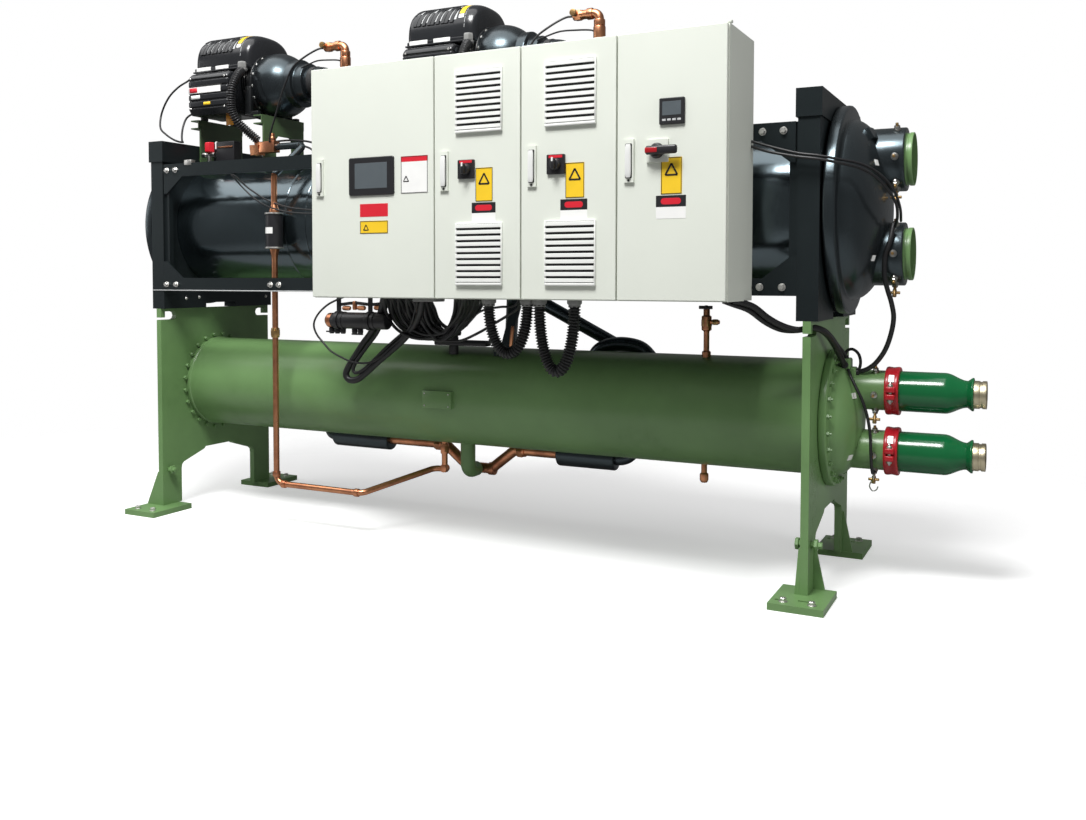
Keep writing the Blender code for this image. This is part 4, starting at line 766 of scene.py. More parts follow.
c = connections
for level in ("upper", "lower"):
    node = f"evaporator_nozzle_{level}"
    r, y, z, low, high = tubeOf(node)
    sleeveEnd = high - c["endLength"]
    inner = c["evaporatorPipe"] / 2 - c["wall"]
    profile = eased([(inner, sleeveEnd), (r, sleeveEnd), (r, low), (inner, low)], 0.006)
    sleeve = turned(node, profile, (0, y, z), (1, 0, 0), 80, closed=True)
    piece(f"{node}_sleeve", sleeve, foamBlack, "frame", node)
    pipeEnd(
        f"{node}_pipe", c["evaporatorPipe"], c["wall"], sleeveEnd - 0.01, c["endLength"] + 0.01, (y, z), greenPaint,
    )

    node = f"condenser_nozzle_{level}"
    r, y, z, low, high = tubeOf(node)
    profile = eased([(r - c["wall"], high), (r, high), (r, low), (r - c["wall"], low)], 0.0015)
    piece(
        f"{node}_stub", turned(node, profile, (0, y, z), (1, 0, 0), 72, closed=True), greenPaint, "frame",
        node,
    )

    node = f"reducer_{level}"
    r, y, z, low, high = tubeOf(node)
    small = c["outlet"] / 2
    straight, taper = c["straight"], c["straight"] + c["taper"]
    lip = taper + c["collar"]
    share = np.linspace(0, 1, 12)
    blend = share * share * (3 - 2 * share)
    cone = np.stack([r + (small - 0.002 - r) * blend, straight + c["taper"] * share], -1)
    outer = [
        (small - c["wall"], lip - 0.01), (small + c["collarLip"] - 0.004, lip), (small + c["collarLip"], lip - 0.001),
        (small + c["collarLip"], lip - 0.007),
    ]
    profile = np.vstack(
        [
            eased(outer, 0.0015, 2), cone[::-1], eased([(r, straight - 0.01), (r, 0), (r - c["wall"], 0)], 0.003),
            [(r - c["wall"], straight), (small - c["wall"], taper)],
        ]
    )
    piece(
        f"{node}_painted", turned(node, profile, (low, y, z), (1, 0, 0), 80, closed=True), gloss, "frame",
        node,
    )
    pipeEnd(
        f"{node}_end", c["outlet"], c["wall"], low + lip - 0.012, high - low - lip + 0.012, (y, z), yellowZinc,
    )
print("water connections made")


# compressors: motor casing, hood on its rim, ribbed drive housing

compressors = {
    "starts": (0.030, 1.450),
    "length": 0.41,
    "middleY": 0.44,
    "shaft": 2.3623,
    "motor": 0.165,
    "hood": 0.190,
    "hoodHeight": 0.1763,
    "squareness": 2.7,
    "hoodBase": 0.100,
    "skin": 0.0067,
    "rim": 0.206,
    "drive": {"start": 0.042, "end": 0.340, "front": 0.280, "back": 0.04, "low": 0.172, "high": 0.058},
    "grooves": (0.040, 0.078, 0.116, 0.154, 0.192),
    "grooveDepth": 0.0055,
    "hoodRibs": 9,
    "patches": {  # start and end along x, low and high in degrees, thickness
        "film": (0.060, 0.300, 22, 76, 0.0012, paleFilm),
        "plate": (0.312, 0.340, 34, 72, 0.0016, yellowPlate),
        "card": (0.312, 0.340, 24, 32, 0.0016, whitePlate),
        "seam": (0.3475, 0.3495, 8, 172, 0.0009, paleFilm),
    },
    "plates": {  # from and to along x, in depth and in height, then the edge
        "strip_end": (0.066, 0.122, -0.0055, -0.0035, 0.122, 0.148, 0.001, redPlate),
        "small_plate": (0.075, 0.140, -0.0035, 0.004, 0.086, 0.108, 0.002, whitePlate),
        "yellow_plate": (0.165, 0.215, -0.0035, 0.004, 0.050, 0.068, 0.002, yellowPlate),
    },
    "cableOut": (0.392, 0.218),
    "conduit": (392, 218, 2425, 402, 165, 2380, 398, 128, 2300, 396, 128, 2200,
        415, 148, 2135, 440, 200, 2085, 468, 252, 2040),
    "glands": (2.448, 2.432),
    "feet": (2.1831, 2.2051),
    "finsAt": (0.320, 0.334, 0.348, 0.362),
    "windows": ((0.045, 0.150), (0.185, 0.280)),
}


def tipped(grid):
    # the same grid with a last row at each end, where all points meet in the middle
    tips = grid[[0, -1]].mean(1, keepdims=True) * np.ones_like(grid[:1])
    return np.vstack([tips[:1], grid, tips[1:]])


def lofted(name, outline, stations, centre, sharp=40):
    # an outline in y and z carried along x; each station is (x, scale in y, scale in z) about the centre
    outline, stations, centre = (np.asarray(values, float) for values in (outline, stations, centre))
    flat = (outline - centre)[None] * stations[:, None, 1:] + centre
    across = np.broadcast_to(stations[:, None, :1], (*flat.shape[:2], 1))
    grid = np.concatenate([across, flat], -1)
    return gridMesh(name, tipped(grid), loopV=True, sharp=sharp)


def roundedRun(start, end, first, last, scale=0.12, steps=5):
    # stations whose scale falls to 1 - scale at each end along a quarter circle
    share = np.linspace(0, 1, steps)
    dome = 1 - scale * (1 - np.sqrt(1 - (1 - share) ** 2))
    left = np.stack([start + first * share, dome], -1)
    right = np.stack([end - last * share[::-1], dome[::-1]], -1)
    run = np.vstack([left, right])
    return np.stack([run[:, 0], run[:, 1], run[:, 1]], -1)


def hoodCurve(angle, base, lift=0.0):
    # a squarer half round: each half axis times cos or sin to the power 2 / 2.7, then moved out by lift
    c, n = np.cos(angle), np.sin(angle)
    power = 2 / compressors["squareness"]
    y = compressors["hood"] * np.sign(c) * np.abs(c) ** power
    z = compressors["hoodHeight"] * np.abs(n) ** power
    out = np.stack(
        [
            np.sign(c) * np.abs(c) ** (2 - power) / compressors["hood"],
            np.abs(n) ** (2 - power) / compressors["hoodHeight"],
        ],
        -1,
    )
    out /= np.linalg.norm(out, axis=-1, keepdims=True)
    return compressors["middleY"] - y - out[..., 0] * lift, base + z + out[..., 1] * lift


def roundCurve(angle, centre, lift=0.0):
    # a circle about (y, z) of the radius given third
    return centre[0] - (centre[2] + lift) * np.cos(angle), centre[1] + (centre[2] + lift) * np.sin(angle)


def arcPatch(name, curve, where, start, end, low, high, thickness, slant=0.0, count=14):
    # a thin plate laid on a curve: x and the angle (in degrees from the front) are its two parameters
    x = np.linspace(start, end, 3)[:, None]
    angle = np.radians(np.linspace(low, high, count))[None]
    layers = []
    for lift in (0.0, thickness):
        y, z = curve(angle, where, lift)
        layers.append(np.stack([x + slant * (angle - angle.mean()) + 0 * angle, y + 0 * x, z + 0 * x], -1))
    inner, outer = layers
    grid = np.concatenate([outer, inner[:, ::-1]], axis=1)
    return gridMesh(name, tipped(grid), loopV=True, sharp=40)


k = compressors
for number, left in enumerate(k["starts"], 1):
    node = f"compressor_{number}"
    right, y0, z0 = left + k["length"], k["middleY"], k["shaft"]
    r = k["motor"]
    casing = eased(
        [
            (0, 0), (r - 0.02, 0), (r, 0.02), (r, 0.30), (r - 0.006, 0.306), (r - 0.006, 0.37), (r + 0.012, 0.374),
            (r + 0.012, k["length"]), (0, k["length"]),
        ],
        0.006,
    )
    motor = turned(node, casing, (left, y0, z0), (1, 0, 0), 72)
    fins = [
        turned(
            f"{node}_fin",
            eased([(r - 0.02, x), (r + 0.010, x), (r + 0.010, x + 0.006), (r - 0.02, x + 0.006)], 0.002, 2),
            (left, y0, z0), (1, 0, 0), 72, closed=True,
        )
        for x in k["finsAt"]
    ]
    legs = []
    for side in (-1, 1):
        y = y0 + side * 0.12
        legs.append(
            roundBox(f"{node}_leg", (left + 0.003, y - 0.02, k["feet"][0]), (left + 0.030, y + 0.02, z0), 0.006)
        )
        edges = sorted((y0 + side * 0.15, y0 + side * 0.18))
        legs.append(
            roundBox(f"{node}_leg", (right - 0.04, edges[0], k["feet"][0]), (right, edges[1], z0 - 0.02), 0.006)
        )
        legs.append(
            roundBox(
                f"{node}_foot", (right - 0.04, edges[0], k["feet"][0]), (left + 0.46, edges[1], k["feet"][1]), 0.004
            )
        )
    joined(f"{node}_casing", [motor, *fins, *legs], castBlack, "frame", node)

    base = z0 + k["hoodBase"]
    skin = base + k["skin"]
    angle = np.linspace(0, np.pi, 41)
    section = np.stack(hoodCurve(angle, skin), -1)
    section = np.vstack([[[section[0, 0], base]], section, [[section[-1, 0], base]]])
    hood = lofted(
        f"{node}_hood", section, roundedRun(left + 0.015, right - 0.003, 0.036, 0.060, 0.17, 8), (y0, base), 30
    )
    piece(f"{node}_hood", hood, glossBlack, "frame")
    ribs = []
    for i in range(k["hoodRibs"]):
        x = left + 0.062 + 0.0265 * i
        cut = 46 + 9 * ((i * 5) % 3)
        ribs += [
            arcPatch(f"{node}_rib", hoodCurve, skin, x, x + 0.0185, a, b, 0.0062, 0.030)
            for a, b in ((17, cut - 3), (cut + 2, 82))
        ]
    joined(f"{node}_hood_ribs", ribs, glossBlack)
    for patch, (start, end, low, high, thick, paint) in k["patches"].items():
        mesh = arcPatch(f"{node}_{patch}", hoodCurve, skin, left + start, left + end, low, high, thick)
        piece(f"{node}_hood_{patch}", mesh, paint)

    rimZ = base - 0.020
    rim = [
        roundBox(f"{node}_rim", (left + 0.030, y0 - k["rim"], rimZ), (right - 0.004, y0 + k["rim"], base), 0.004),
        roundBox(
            f"{node}_rim", (left + 0.022, y0 - k["rim"] - 0.006, rimZ - 0.006),
            (right - 0.010, y0 + k["rim"] + 0.006, rimZ + 0.003), 0.003,
        ),
    ]
    joined(f"{node}_rim", rim, glossBlack, "frame")
    windows = [
        roundBox(
            f"{node}_window", (left + a, y0 - k["rim"] - 0.0015, rimZ + 0.004),
            (left + b, y0 - k["rim"] + 0.003, base + 0.004), 0.001, 1,
        )
        for a, b in k["windows"]
    ]
    joined(f"{node}_windows", windows, whitePlate)

    d = k["drive"]
    front, back = y0 - d["front"], y0 - d["back"]
    bottom, top = z0 - d["low"], z0 + d["high"]
    edge = [(front + 0.020, bottom), (front, bottom + 0.030)]
    for g in k["grooves"]:
        z = bottom + g
        edge += [
            (front - 0.002, z - 0.006), (front + k["grooveDepth"], z - 0.003), (front + k["grooveDepth"], z + 0.003),
            (front - 0.002, z + 0.006),
        ]
    edge += [(front + 0.004, top - 0.018), (front + 0.022, top), (back, top), (back, bottom)]
    outline = eased([*edge, edge[0]], 0.010, 3)[:-1]
    drive = lofted(
        f"{node}_drive", outline, roundedRun(left + d["start"], left + d["end"], 0.030, 0.018, 0.10, 8),
        (back, (bottom + top) / 2), 32,
    )
    piece(f"{node}_drive", drive, glossBlack, "frame")
    nameStrip = [
        roundBox(
            f"{node}_strip", (left + 0.062, front - 0.0045, bottom + 0.118),
            (left + 0.290, front + 0.004, bottom + 0.152), 0.002, 1,
        )
    ]
    joined(f"{node}_strip", nameStrip, whitePlate)
    for plate, (a, b, out, deep, low, high, edge, paint) in k["plates"].items():
        mesh = roundBox(
            "plate", (left + a, front + out, bottom + low), (left + b, front + deep, bottom + high), edge, 1
        )
        piece(f"{node}_{plate}", mesh, paint)
    bolts = hexBolts(f"{node}_bolts", ringOf((right - 0.003, y0, z0), r - 0.004, 16, 0.1), (1, 0, 0), 0.018, 0.008)
    piece(f"{node}_bolts", bolts, zinc)
    lugs = hexBolts(
        f"{node}_drive_screws",
        [(left + x, front + 0.001, z) for x in (0.07, 0.315) for z in (bottom + 0.035, top - 0.030)], (0, -1, 0),
        0.010, 0.005,
    )
    piece(f"{node}_drive_screws", lugs, zinc)

    # the gland and the ribbed conduit down the drive's right side
    gland = lathe(
        f"{node}_gland", [0, 20, 21, 20, 25, 12, 25, -12, 21, -20, 0, -20], 0.003, 3,
        (left + k["cableOut"][0], k["cableOut"][1], k["glands"][0]), (0, 0, -1), 6, sharp=20,
    )
    cap = lathe(
        f"{node}_cap", [0, 16, 24, 16, 27, 10, 27, 0, 0, 0], 0.003, 3,
        (left + k["cableOut"][0], k["cableOut"][1], k["glands"][1]), (0, 0, -1), 24,
    )
    joined(f"{node}_gland", [gland, cap], greyPlastic)
    for row, (a, b) in enumerate(((-44, -12), (10, 32))):
        fins = [
            arcPatch(
                f"{node}_edge", roundCurve, (y0, z0, r + 0.004), right - 0.050 + 0.013 * i, right - 0.046 + 0.013 * i,
                a + 2 * i, b, 0.008,
            )
            for i in range(4)
        ]
        joined(f"{node}_fin_edges_{row + 1}", fins, steel)
    drop = curvedPath(mm(*k["conduit"]) + (left, 0, 0), 60)
    corrugated(f"{node}_conduit", drop, 0.049, cords["conduits"]["rib"], 0.0036)
print("compressors made")


# suction domes: foam over the dome, two collars and the bend down to the evaporator

suctions = {
    "dome": 0.1775, "setback": 0.065, "ring": (0.130, 0.045), "neck": (0.105, 0.055), "pipe": 0.165, "run": 0.40,
    "bend": 0.14,
}

s = suctions
for number, left in enumerate(k["starts"], 1):
    node = f"suction_{number}"
    start = left + k["length"] + 0.0003
    y0, z0 = k["middleY"], k["shaft"]
    first, last = math.acos(s["ring"][0] / s["dome"]), -math.asin(s["setback"] / s["dome"])
    turn = np.linspace(first, last, 40)
    edge = s["setback"] + s["dome"] * math.sin(first)
    ringEnd, neckEnd = edge + s["ring"][1], edge + s["ring"][1] + s["neck"][1]
    ball = np.stack([s["dome"] * np.cos(turn), s["setback"] + s["dome"] * np.sin(turn)], -1)
    collars = eased(
        [
            (0, neckEnd), (s["neck"][0], neckEnd), (s["neck"][0], ringEnd), (s["ring"][0], ringEnd),
            (s["ring"][0], edge),
        ],
        0.006, 4,
    )
    dome = turned(node, np.vstack([collars, ball[1:], [(0, 0)]]), (start, y0, z0), (1, 0, 0), 96, sharp=50)
    centre = start + s["setback"]
    path = bentPath(
        [(centre + 0.05, y0, z0), (centre + s["run"], y0, z0), (centre + s["run"], y0, evaporatorZ + 0.30)],
        s["bend"], 16,
    )
    bend = swept(f"{node}_pipe", path, s["pipe"] / 2, 48)
    joined(f"{node}_foam", [dome, bend], domeFoam, "frame", node)
    joints = [
        turned(
            f"{node}_seam",
            [
                (s["pipe"] / 2 + 0.0025, x), (s["pipe"] / 2 + 0.0025, x + 0.03), (s["pipe"] / 2 - 0.002, x + 0.031),
                (s["pipe"] / 2 - 0.002, x - 0.001),
            ],
            (start, y0, z0), (1, 0, 0), 48, closed=True,
        )
        for x in (neckEnd + 0.02,)
    ]
    joined(f"{node}_tape", joints, gasket)
print("suction domes made")


# copper: risers, liquid line, filter drier, manifold and feed lines

copperwork = {
    "riser": {"pipe": 0.042, "across": 0.585, "setback": 0.19, "rise": 0.132, "run": 0.12, "bend": 0.030},
    "liquid": {"pipe": 0.031, "base": 0.215, "turn": 1.32, "end": 1.57, "level": 0.295},
    "manifold": {"pipe": 0.054, "y": 0.565, "high": 0.405, "low": 0.295},
    "feed": {"shell": 0.12, "pipe": 0.066},
    "hump": (2340, 590, 880, 2372, 588, 930, 2430, 585, 958, 2510, 585, 966, 2590, 585, 950,
        2640, 588, 905, 2655, 590, 870),
    "drier": {"low": 1.440, "high": 1.627, "label": (1.519, 1.551), "labelTurn": (-62, 28)},
}


def union(name, place, direction, across=0.052, length=0.045, paint=None):
    # a brazed union: six-sided middle between two round collars
    collar = across / 2 * 0.86
    middle = peg(name, across / 2, -length * 0.3, length * 0.3, 0.002, 2, place, direction, 6, sharp=20)
    ends = peg(name, collar, -length / 2, length / 2, 0.003, 2, place, direction, 28)
    return joined(name, [middle, ends], paint or brass)


def sleeve(name, place, direction, radius, length, paint):
    # a plain round collar, its middle at place
    return piece(name, peg(name, radius, -length / 2, length / 2, 0.003, 2, place, direction, 28), paint)


v = copperwork["riser"]
for number, left in enumerate(k["starts"], 1):
    node = f"riser_{number}"
    x = left + k["length"] + s["setback"] + v["across"]
    y, top = k["middleY"] - v["setback"], k["shaft"] + v["rise"]
    path = bentPath([(x, y, evaporatorZ + 0.22), (x, y, top), (x - v["run"], y, top)], v["bend"], 10)
    piece(f"{node}_tube", swept(node, path, v["pipe"] / 2, 28), copper, "frame", node)
    sleeve(f"{node}_collar", (x, y, 2.405), (0, 0, 1), 0.028, 0.055, copper)
    sleeve(f"{node}_elbow_low", (x, y, top - 0.045), (0, 0, 1), 0.026, 0.028, copper)
    sleeve(f"{node}_elbow_side", (x - 0.045, y, top), (1, 0, 0), 0.026, 0.028, copper)
    union(f"{node}_valve", (x - v["run"] + 0.016, y, top), (1, 0, 0), 0.052, 0.046, copper)
    sleeve(f"{node}_valve_stem", (x - v["run"] + 0.012, y - 0.034, top + 0.002), (0, 1, 0), 0.012, 0.036, copper)
    sleeve(f"{node}_valve_cap", (x - v["run"] + 0.012, y - 0.052, top + 0.002), (0, 1, 0), 0.016, 0.018, brass)

q = copperwork["liquid"]
filterLow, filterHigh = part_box("filter_drier")
lx, ly = (filterLow.x + filterHigh.x) / 2, (filterLow.y + filterHigh.y) / 2
path = bentPath(
    [
        (lx, ly, filterLow.z + 0.01), (lx, ly, q["base"]), (q["turn"], ly, q["base"]),
        (q["end"] - 0.06, midY, q["level"]), (q["end"], midY, q["level"]),
        (q["end"], midY, condenserZ - condenserRadius + 0.01),
    ],
    0.05, 12,
)
piece("liquid_line_tube", swept("liquidLine", path, q["pipe"] / 2, 28), copper, "frame", "liquid_line")
path = bentPath(
    [
        (lx, ly, filterHigh.z - 0.01), (lx, ly, evaporatorZ + 0.245), (lx + 0.045, midY - 0.19, evaporatorZ + 0.42),
        (0.580, midY - 0.19, evaporatorZ + 0.42),
    ],
    0.035, 10,
)
split = int(np.argmax(path[:, 2] > evaporatorZ + 0.245))
upper = swept("liquidLineTop", path[: split + 2], q["pipe"] / 2, 28)
after = swept("liquidLineSleeve", path[split:], q["pipe"] / 2 + 0.003, 28)
piece("liquid_line_sleeve", after, foamBlack, "frame")
block = roundBox("liquidBlock", *mm(526.3, 222.5, 1968, 631.3, 277.5, 2028), 0.004)
joined("liquid_line_top_tube", [upper, block], copper, "frame", "liquid_line_top")
drierLow, drierHigh = copperwork["drier"]["low"], copperwork["drier"]["high"]
half, fr = (drierHigh - drierLow) / 2, (filterHigh.x - filterLow.x) / 2
tube = q["pipe"] / 2
profile = eased(
    [
        (0, half + 0.004), (tube + 0.008, half + 0.004), (fr - 0.003, half - 0.006), (fr, half - 0.010),
        (fr, 0.010 - half), (fr - 0.003, 0.006 - half), (tube + 0.008, -half), (0, -half),
    ],
    0.003, 3,
)
piece(
    "filter_drier_body", turned("filterDrier", profile, (lx, ly, (drierLow + drierHigh) / 2), (0, 0, 1), 48),
    blackPlastic, "frame", "filter_drier",
)
cone = [
    (0, 0.052), (tube + 0.001, 0.052), (tube + 0.001, 0.040), (tube + 0.010, 0.010), (tube + 0.010, 0.0), (0, 0.0)
]
joined(
    "drier_cones",
    [
        turned("cone", eased(cone, 0.002, 2), (lx, ly, drierHigh + 0.002), (0, 0, 1), 36),
        turned("cone", eased(cone[:3] + cone[4:], 0.002, 2), (lx, ly, drierLow), (0, 0, -1), 36),
    ],
    copper,
)
joined(
    "drier_rings",
    [
        peg("ring", fr + 0.004, -0.004, 0.004, 0.001, 2, (lx, ly, z), (0, 0, 1), 40)
        for z in (drierLow + 0.006, drierHigh - 0.004)
    ],
    zinc,
)
turn = np.radians(np.linspace(*copperwork["drier"]["labelTurn"], 12))[:, None]
lift = np.array([[-0.001, 0.0007, 0.0007, -0.001]])
height = np.repeat(copperwork["drier"]["label"], 2)[None]
wrap = np.stack([lx + (fr + lift) * np.sin(turn), ly - (fr + lift) * np.cos(turn), height + 0 * turn], -1)
piece("drier_label", gridMesh("drierLabel", tipped(wrap), loopV=True, sharp=40), whitePlate)
union("liquid_union_middle", (lx, ly, 1.005), (0, 0, 1), 0.050, 0.050)
for number, (x, z) in enumerate(((lx, q["base"] + 0.05), (lx + 0.05, q["base"]), (q["turn"] - 0.03, q["base"])), 1):
    sleeve(f"liquid_elbow_{number}", (x, ly, z), (0, 0, 1) if number == 1 else (1, 0, 0), 0.0205, 0.026, copper)

low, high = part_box("condenser_outlet")
ox, outletRadius = (low.x + high.x) / 2, (high.x - low.x) / 2
level = low.z + outletRadius
outletPath = bentPath(
    [(ox, midY, condenserZ - condenserRadius + 0.012), (ox, midY, level), (ox, high.y, level)], 0.05, 12
)
piece(
    "condenser_outlet_elbow", swept("condenserOutlet", outletPath, outletRadius, 36), greenPaint, "frame",
    "condenser_outlet",
)

m = copperwork["manifold"]
low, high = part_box("lower_manifold")
run = bentPath(
    [
        (low.x, m["y"], m["high"]), (ox - 0.21, m["y"], m["high"]), (ox - 0.07, m["y"], m["low"]),
        (ox + 0.07, m["y"], m["low"]), (ox + 0.21, m["y"], m["high"]), (high.x, m["y"], m["high"]),
    ],
    0.05, 8,
)
piece(
    "lower_manifold_tube", swept("lowerManifold", run, m["pipe"] / 2, 28), copper, "frame",
    "lower_manifold",
)
for side in (-1, 1):
    union(
        f"manifold_union_{'left' if side < 0 else 'right'}", (ox + side * 0.245, m["y"], m["high"]), (1, 0, 0), 0.078,
        0.050, copper,
    )
    sleeve(
        f"manifold_collar_{'left' if side < 0 else 'right'}", (ox + side * 0.075, m["y"], m["low"]), (1, 0, 0), 0.033,
        0.034, copper,
    )
union("liquid_tee", (q["end"], midY, 0.402), (0, 0, 1), 0.050, 0.052, copper)
union("liquid_tee_low", (q["end"], midY, q["level"] + 0.004), (0, 1, 0), 0.046, 0.040, copper)
print("copper made")


def feedPath(start, end, rise, inlet):
    # from the case outwards, up behind the condenser and in under the evaporator
    onward = 1 if end > start else -1
    far = midY + condenserRadius + 0.11
    low = evaporatorZ - evaporatorRadius
    joinY = midY + evaporatorRadius * 0.4
    return bentPath(
        [
            (end - onward * 0.05, m["y"], m["high"]),
            (end + onward * 0.06, m["y"], m["high"]),
            (end + onward * 0.12, far, condenserZ - 0.06),
            (rise, far, condenserZ - 0.06),
            (rise, far, condenserZ + condenserRadius - 0.02),
            (inlet, joinY, low - 0.06),
            (inlet, joinY, low + 0.035),
        ],
        0.06,
        10,
    )


f = copperwork["feed"]
for side, ends in (("left", (1.16, 0.79, 1.77, 1.90)), ("right", (2.17, 2.48, 2.44, 2.04))):
    node = f"feed_line_{side}"
    start, end = ends[:2]
    pipe = swept(node, feedPath(*ends), f["pipe"] / 2, 28)
    caseRadius = f["shell"] / 2
    length = abs(end - start)
    profile = eased([(0, length), (caseRadius, length), (caseRadius, 0), (0, 0)], 0.012, 4)
    case = turned(node, profile, (start, m["y"], m["high"]), (1 if end > start else -1, 0, 0), 48)
    joined(f"{node}_foam", [pipe, case], foamBlack, "frame", node)
hump = curvedPath(mm(*copperwork["hump"]), 48)
piece("shell_elbow_foam", swept("shellElbow", hump, 0.036, 24, 60), foamBlack, "frame")
print("feed lines made")


# cabinet front: louvres, knobs, handles, screen, meter and bare plates

front = {
    "door": -0.3723,
    "slats": 10,
    "rim": 0.005,
}


def louvre(node, body):
    # a frame round slanted blades: each blade is one thin sloping slab, all blades in one mesh
    low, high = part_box(node)
    face, back = low.y, high.y
    rim = front["rim"]
    frameBars = [
        roundBox(node, (low.x, face + 0.003, low.z), (low.x + rim, back, high.z), 0.002, 2),
        roundBox(node, (high.x - rim, face + 0.003, low.z), (high.x, back, high.z), 0.003, 2),
        roundBox(node, (low.x + 0.002, face + 0.003, high.z - rim), (high.x - 0.002, back, high.z), 0.003, 2),
        roundBox(node, (low.x + 0.001, face + 0.001, low.z), (high.x - 0.001, back, low.z + 2.4 * rim), 0.003, 2),
    ]
    count = front["slats"]
    pitch = (high.z - low.z - 2 * rim) / count
    tops = high.z - rim - pitch * np.arange(count)
    deep = back - 0.0005
    section = np.array(
        [
            (face, -pitch * 0.10), (face, -pitch * 0.60), (face + 0.0025, -pitch * 0.655), (deep, -pitch * 0.30),
            (deep, -pitch * 0.02), (face + 0.003, -pitch * 0.045),
        ]
    )
    grid = np.zeros((count, 2, len(section), 3))
    grid[..., 0] = np.array([low.x + rim - 0.001, high.x - rim + 0.001])[None, :, None]
    grid[..., 1] = section[None, None, :, 0]
    grid[..., 2] = tops[:, None, None] + section[None, None, :, 1]
    size = len(section)
    ring = np.arange(size)
    sides = np.stack([ring, np.roll(ring, -1), np.roll(ring, -1) + size, ring + size], -1).tolist()
    faces = [
        [value + 2 * size * i for value in face]
        for i in range(count)
        for face in [*sides, ring[::-1].tolist(), (ring + size).tolist()]
    ]
    blades = solidMesh(node, grid.reshape(-1, 3), faces)
    joined(f"{node}_louvre", [*frameBars, blades], ventPaint, body, node)
    # a near-black sheet just behind the blades: painted shade in the gaps between them
    shade = box(
        f"{node}_shade", (low.x + 0.004, back - 0.0009, low.z + 0.004),
        (high.x - 0.004, back - 0.0001, high.z - 0.004),
    )
    piece(f"{node}_shade", shade, shadePaint, body)


for node, body in (
    ("vent_2_upper", "door_2"), ("vent_2_lower", "door_2"), ("vent_3_upper", "door_3"), ("vent_3_lower", "door_3")
):
    louvre(node, body)
print("louvres made")


def flatOutline(halfWidth, halfHeight, radius, steps=6):
    # a rounded rectangle about zero
    turn = np.linspace(0, np.pi / 2, steps)
    corner = np.stack([np.cos(turn), np.sin(turn)], -1) * radius
    out = []
    for sx, sz, flip in ((1, 1, 1), (-1, 1, -1), (-1, -1, 1), (1, -1, -1)):
        arc = corner[::flip] * (sx, sz) + np.array([sx * (halfWidth - radius), sz * (halfHeight - radius)])
        out.append(arc)
    return np.vstack(out)


def tile(name, centre, halfWidth, halfHeight, frontY, depth, radius, paint, body, edge=0.0012):
    # a plate on the door, thicker by depth towards y less: outline, then the same outline drawn in by the edge
    outline = flatOutline(halfWidth, halfHeight, radius)
    inner = flatOutline(halfWidth - edge, halfHeight - edge, max(radius - edge, 0.0004))
    rows = []
    for shape, y in ((outline, frontY + depth), (outline, frontY + edge), (inner, frontY)):
        rows.append(np.stack([centre[0] + shape[:, 0], np.full(len(shape), y), centre[1] + shape[:, 1]], -1))
    grid = np.stack(rows)
    return piece(name, gridMesh(name, tipped(grid), loopV=True, sharp=30), paint, body)


def knobPiece(node, centre, radius, length):
    # a turned collar with a bar handle across it
    low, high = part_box(node)
    y = high.y
    collar = turned(
        node, eased([(0, length), (radius * 0.80, length), (radius, length * 0.25), (radius, 0), (0, 0)], 0.003),
        (centre[0], y, centre[1]), (0, -1, 0), 48,
    )
    grip = roundBox(
        node, (centre[0] - radius * 0.34, low.y, centre[1] - radius * 0.92),
        (centre[0] + radius * 0.34, y - length * 0.5, centre[1] + radius * 0.92), 0.006,
    )
    joined(f"{node}_finished", [collar, grip], blackPlastic, node, node)


for node, x, z in (("breaker_knob_2", 2.17125, 1.746), ("breaker_knob_3", 2.58525, 1.746)):
    low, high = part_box(node)
    knobPiece(node, (x, z), (high.x - low.x) / 2, (high.y - low.y) * 0.55)
    door = "door_2" if node.endswith("2") else "door_3"
    tile(f"{node}_plate", (x, z), 0.0395, 0.0395, -0.3825, 0.0105, 0.004, blackPlastic, door, 0.001)
    tile(f"{node}_badge", (x, z + 0.031), 0.030, 0.0055, -0.3830, 0.002, 0.001, redPlate, door, 0.0004)
    tile(f"{node}_mark", (x, z + 0.017), 0.0035, 0.008, low.y - 0.0005, 0.003, 0.001, whitePlate, node, 0.0003)

low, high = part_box("isolator_knob")
ix, iz = halfway(low, high)
handle = {"left": 0.038, "right": 0.088, "half": 0.017, "red": 0.014}
collar = lathe("isolator", [0, 20, 24, 20, 30, 4, 30, 0, 0, 0], 0.003, 3, (ix, high.y, iz), (0, -1, 0), 48)
grip = roundBox(
    "isolator", (ix - handle["left"], low.y, iz - handle["half"]),
    (ix + handle["right"], high.y - 0.014, iz + handle["half"]), 0.010, 4,
)
joined("isolator_knob_finished", [collar, grip], blackPlastic, "isolator_knob", "isolator_knob")
piece(
    "isolator_grip_red",
    roundBox(
        "isolatorGrip", (ix - handle["left"] - 0.0005, low.y - 0.0008, iz - 0.012),
        (ix + handle["red"], low.y + 0.012, iz + 0.012), 0.006, 4,
    ),
    redPaint, "isolator_knob",
)
tile(
    "isolator_plate", (ix, iz), 0.0445, 0.0445, -0.3825, 0.0105, 0.040, cabinetPaint, "door_4", 0.001
)

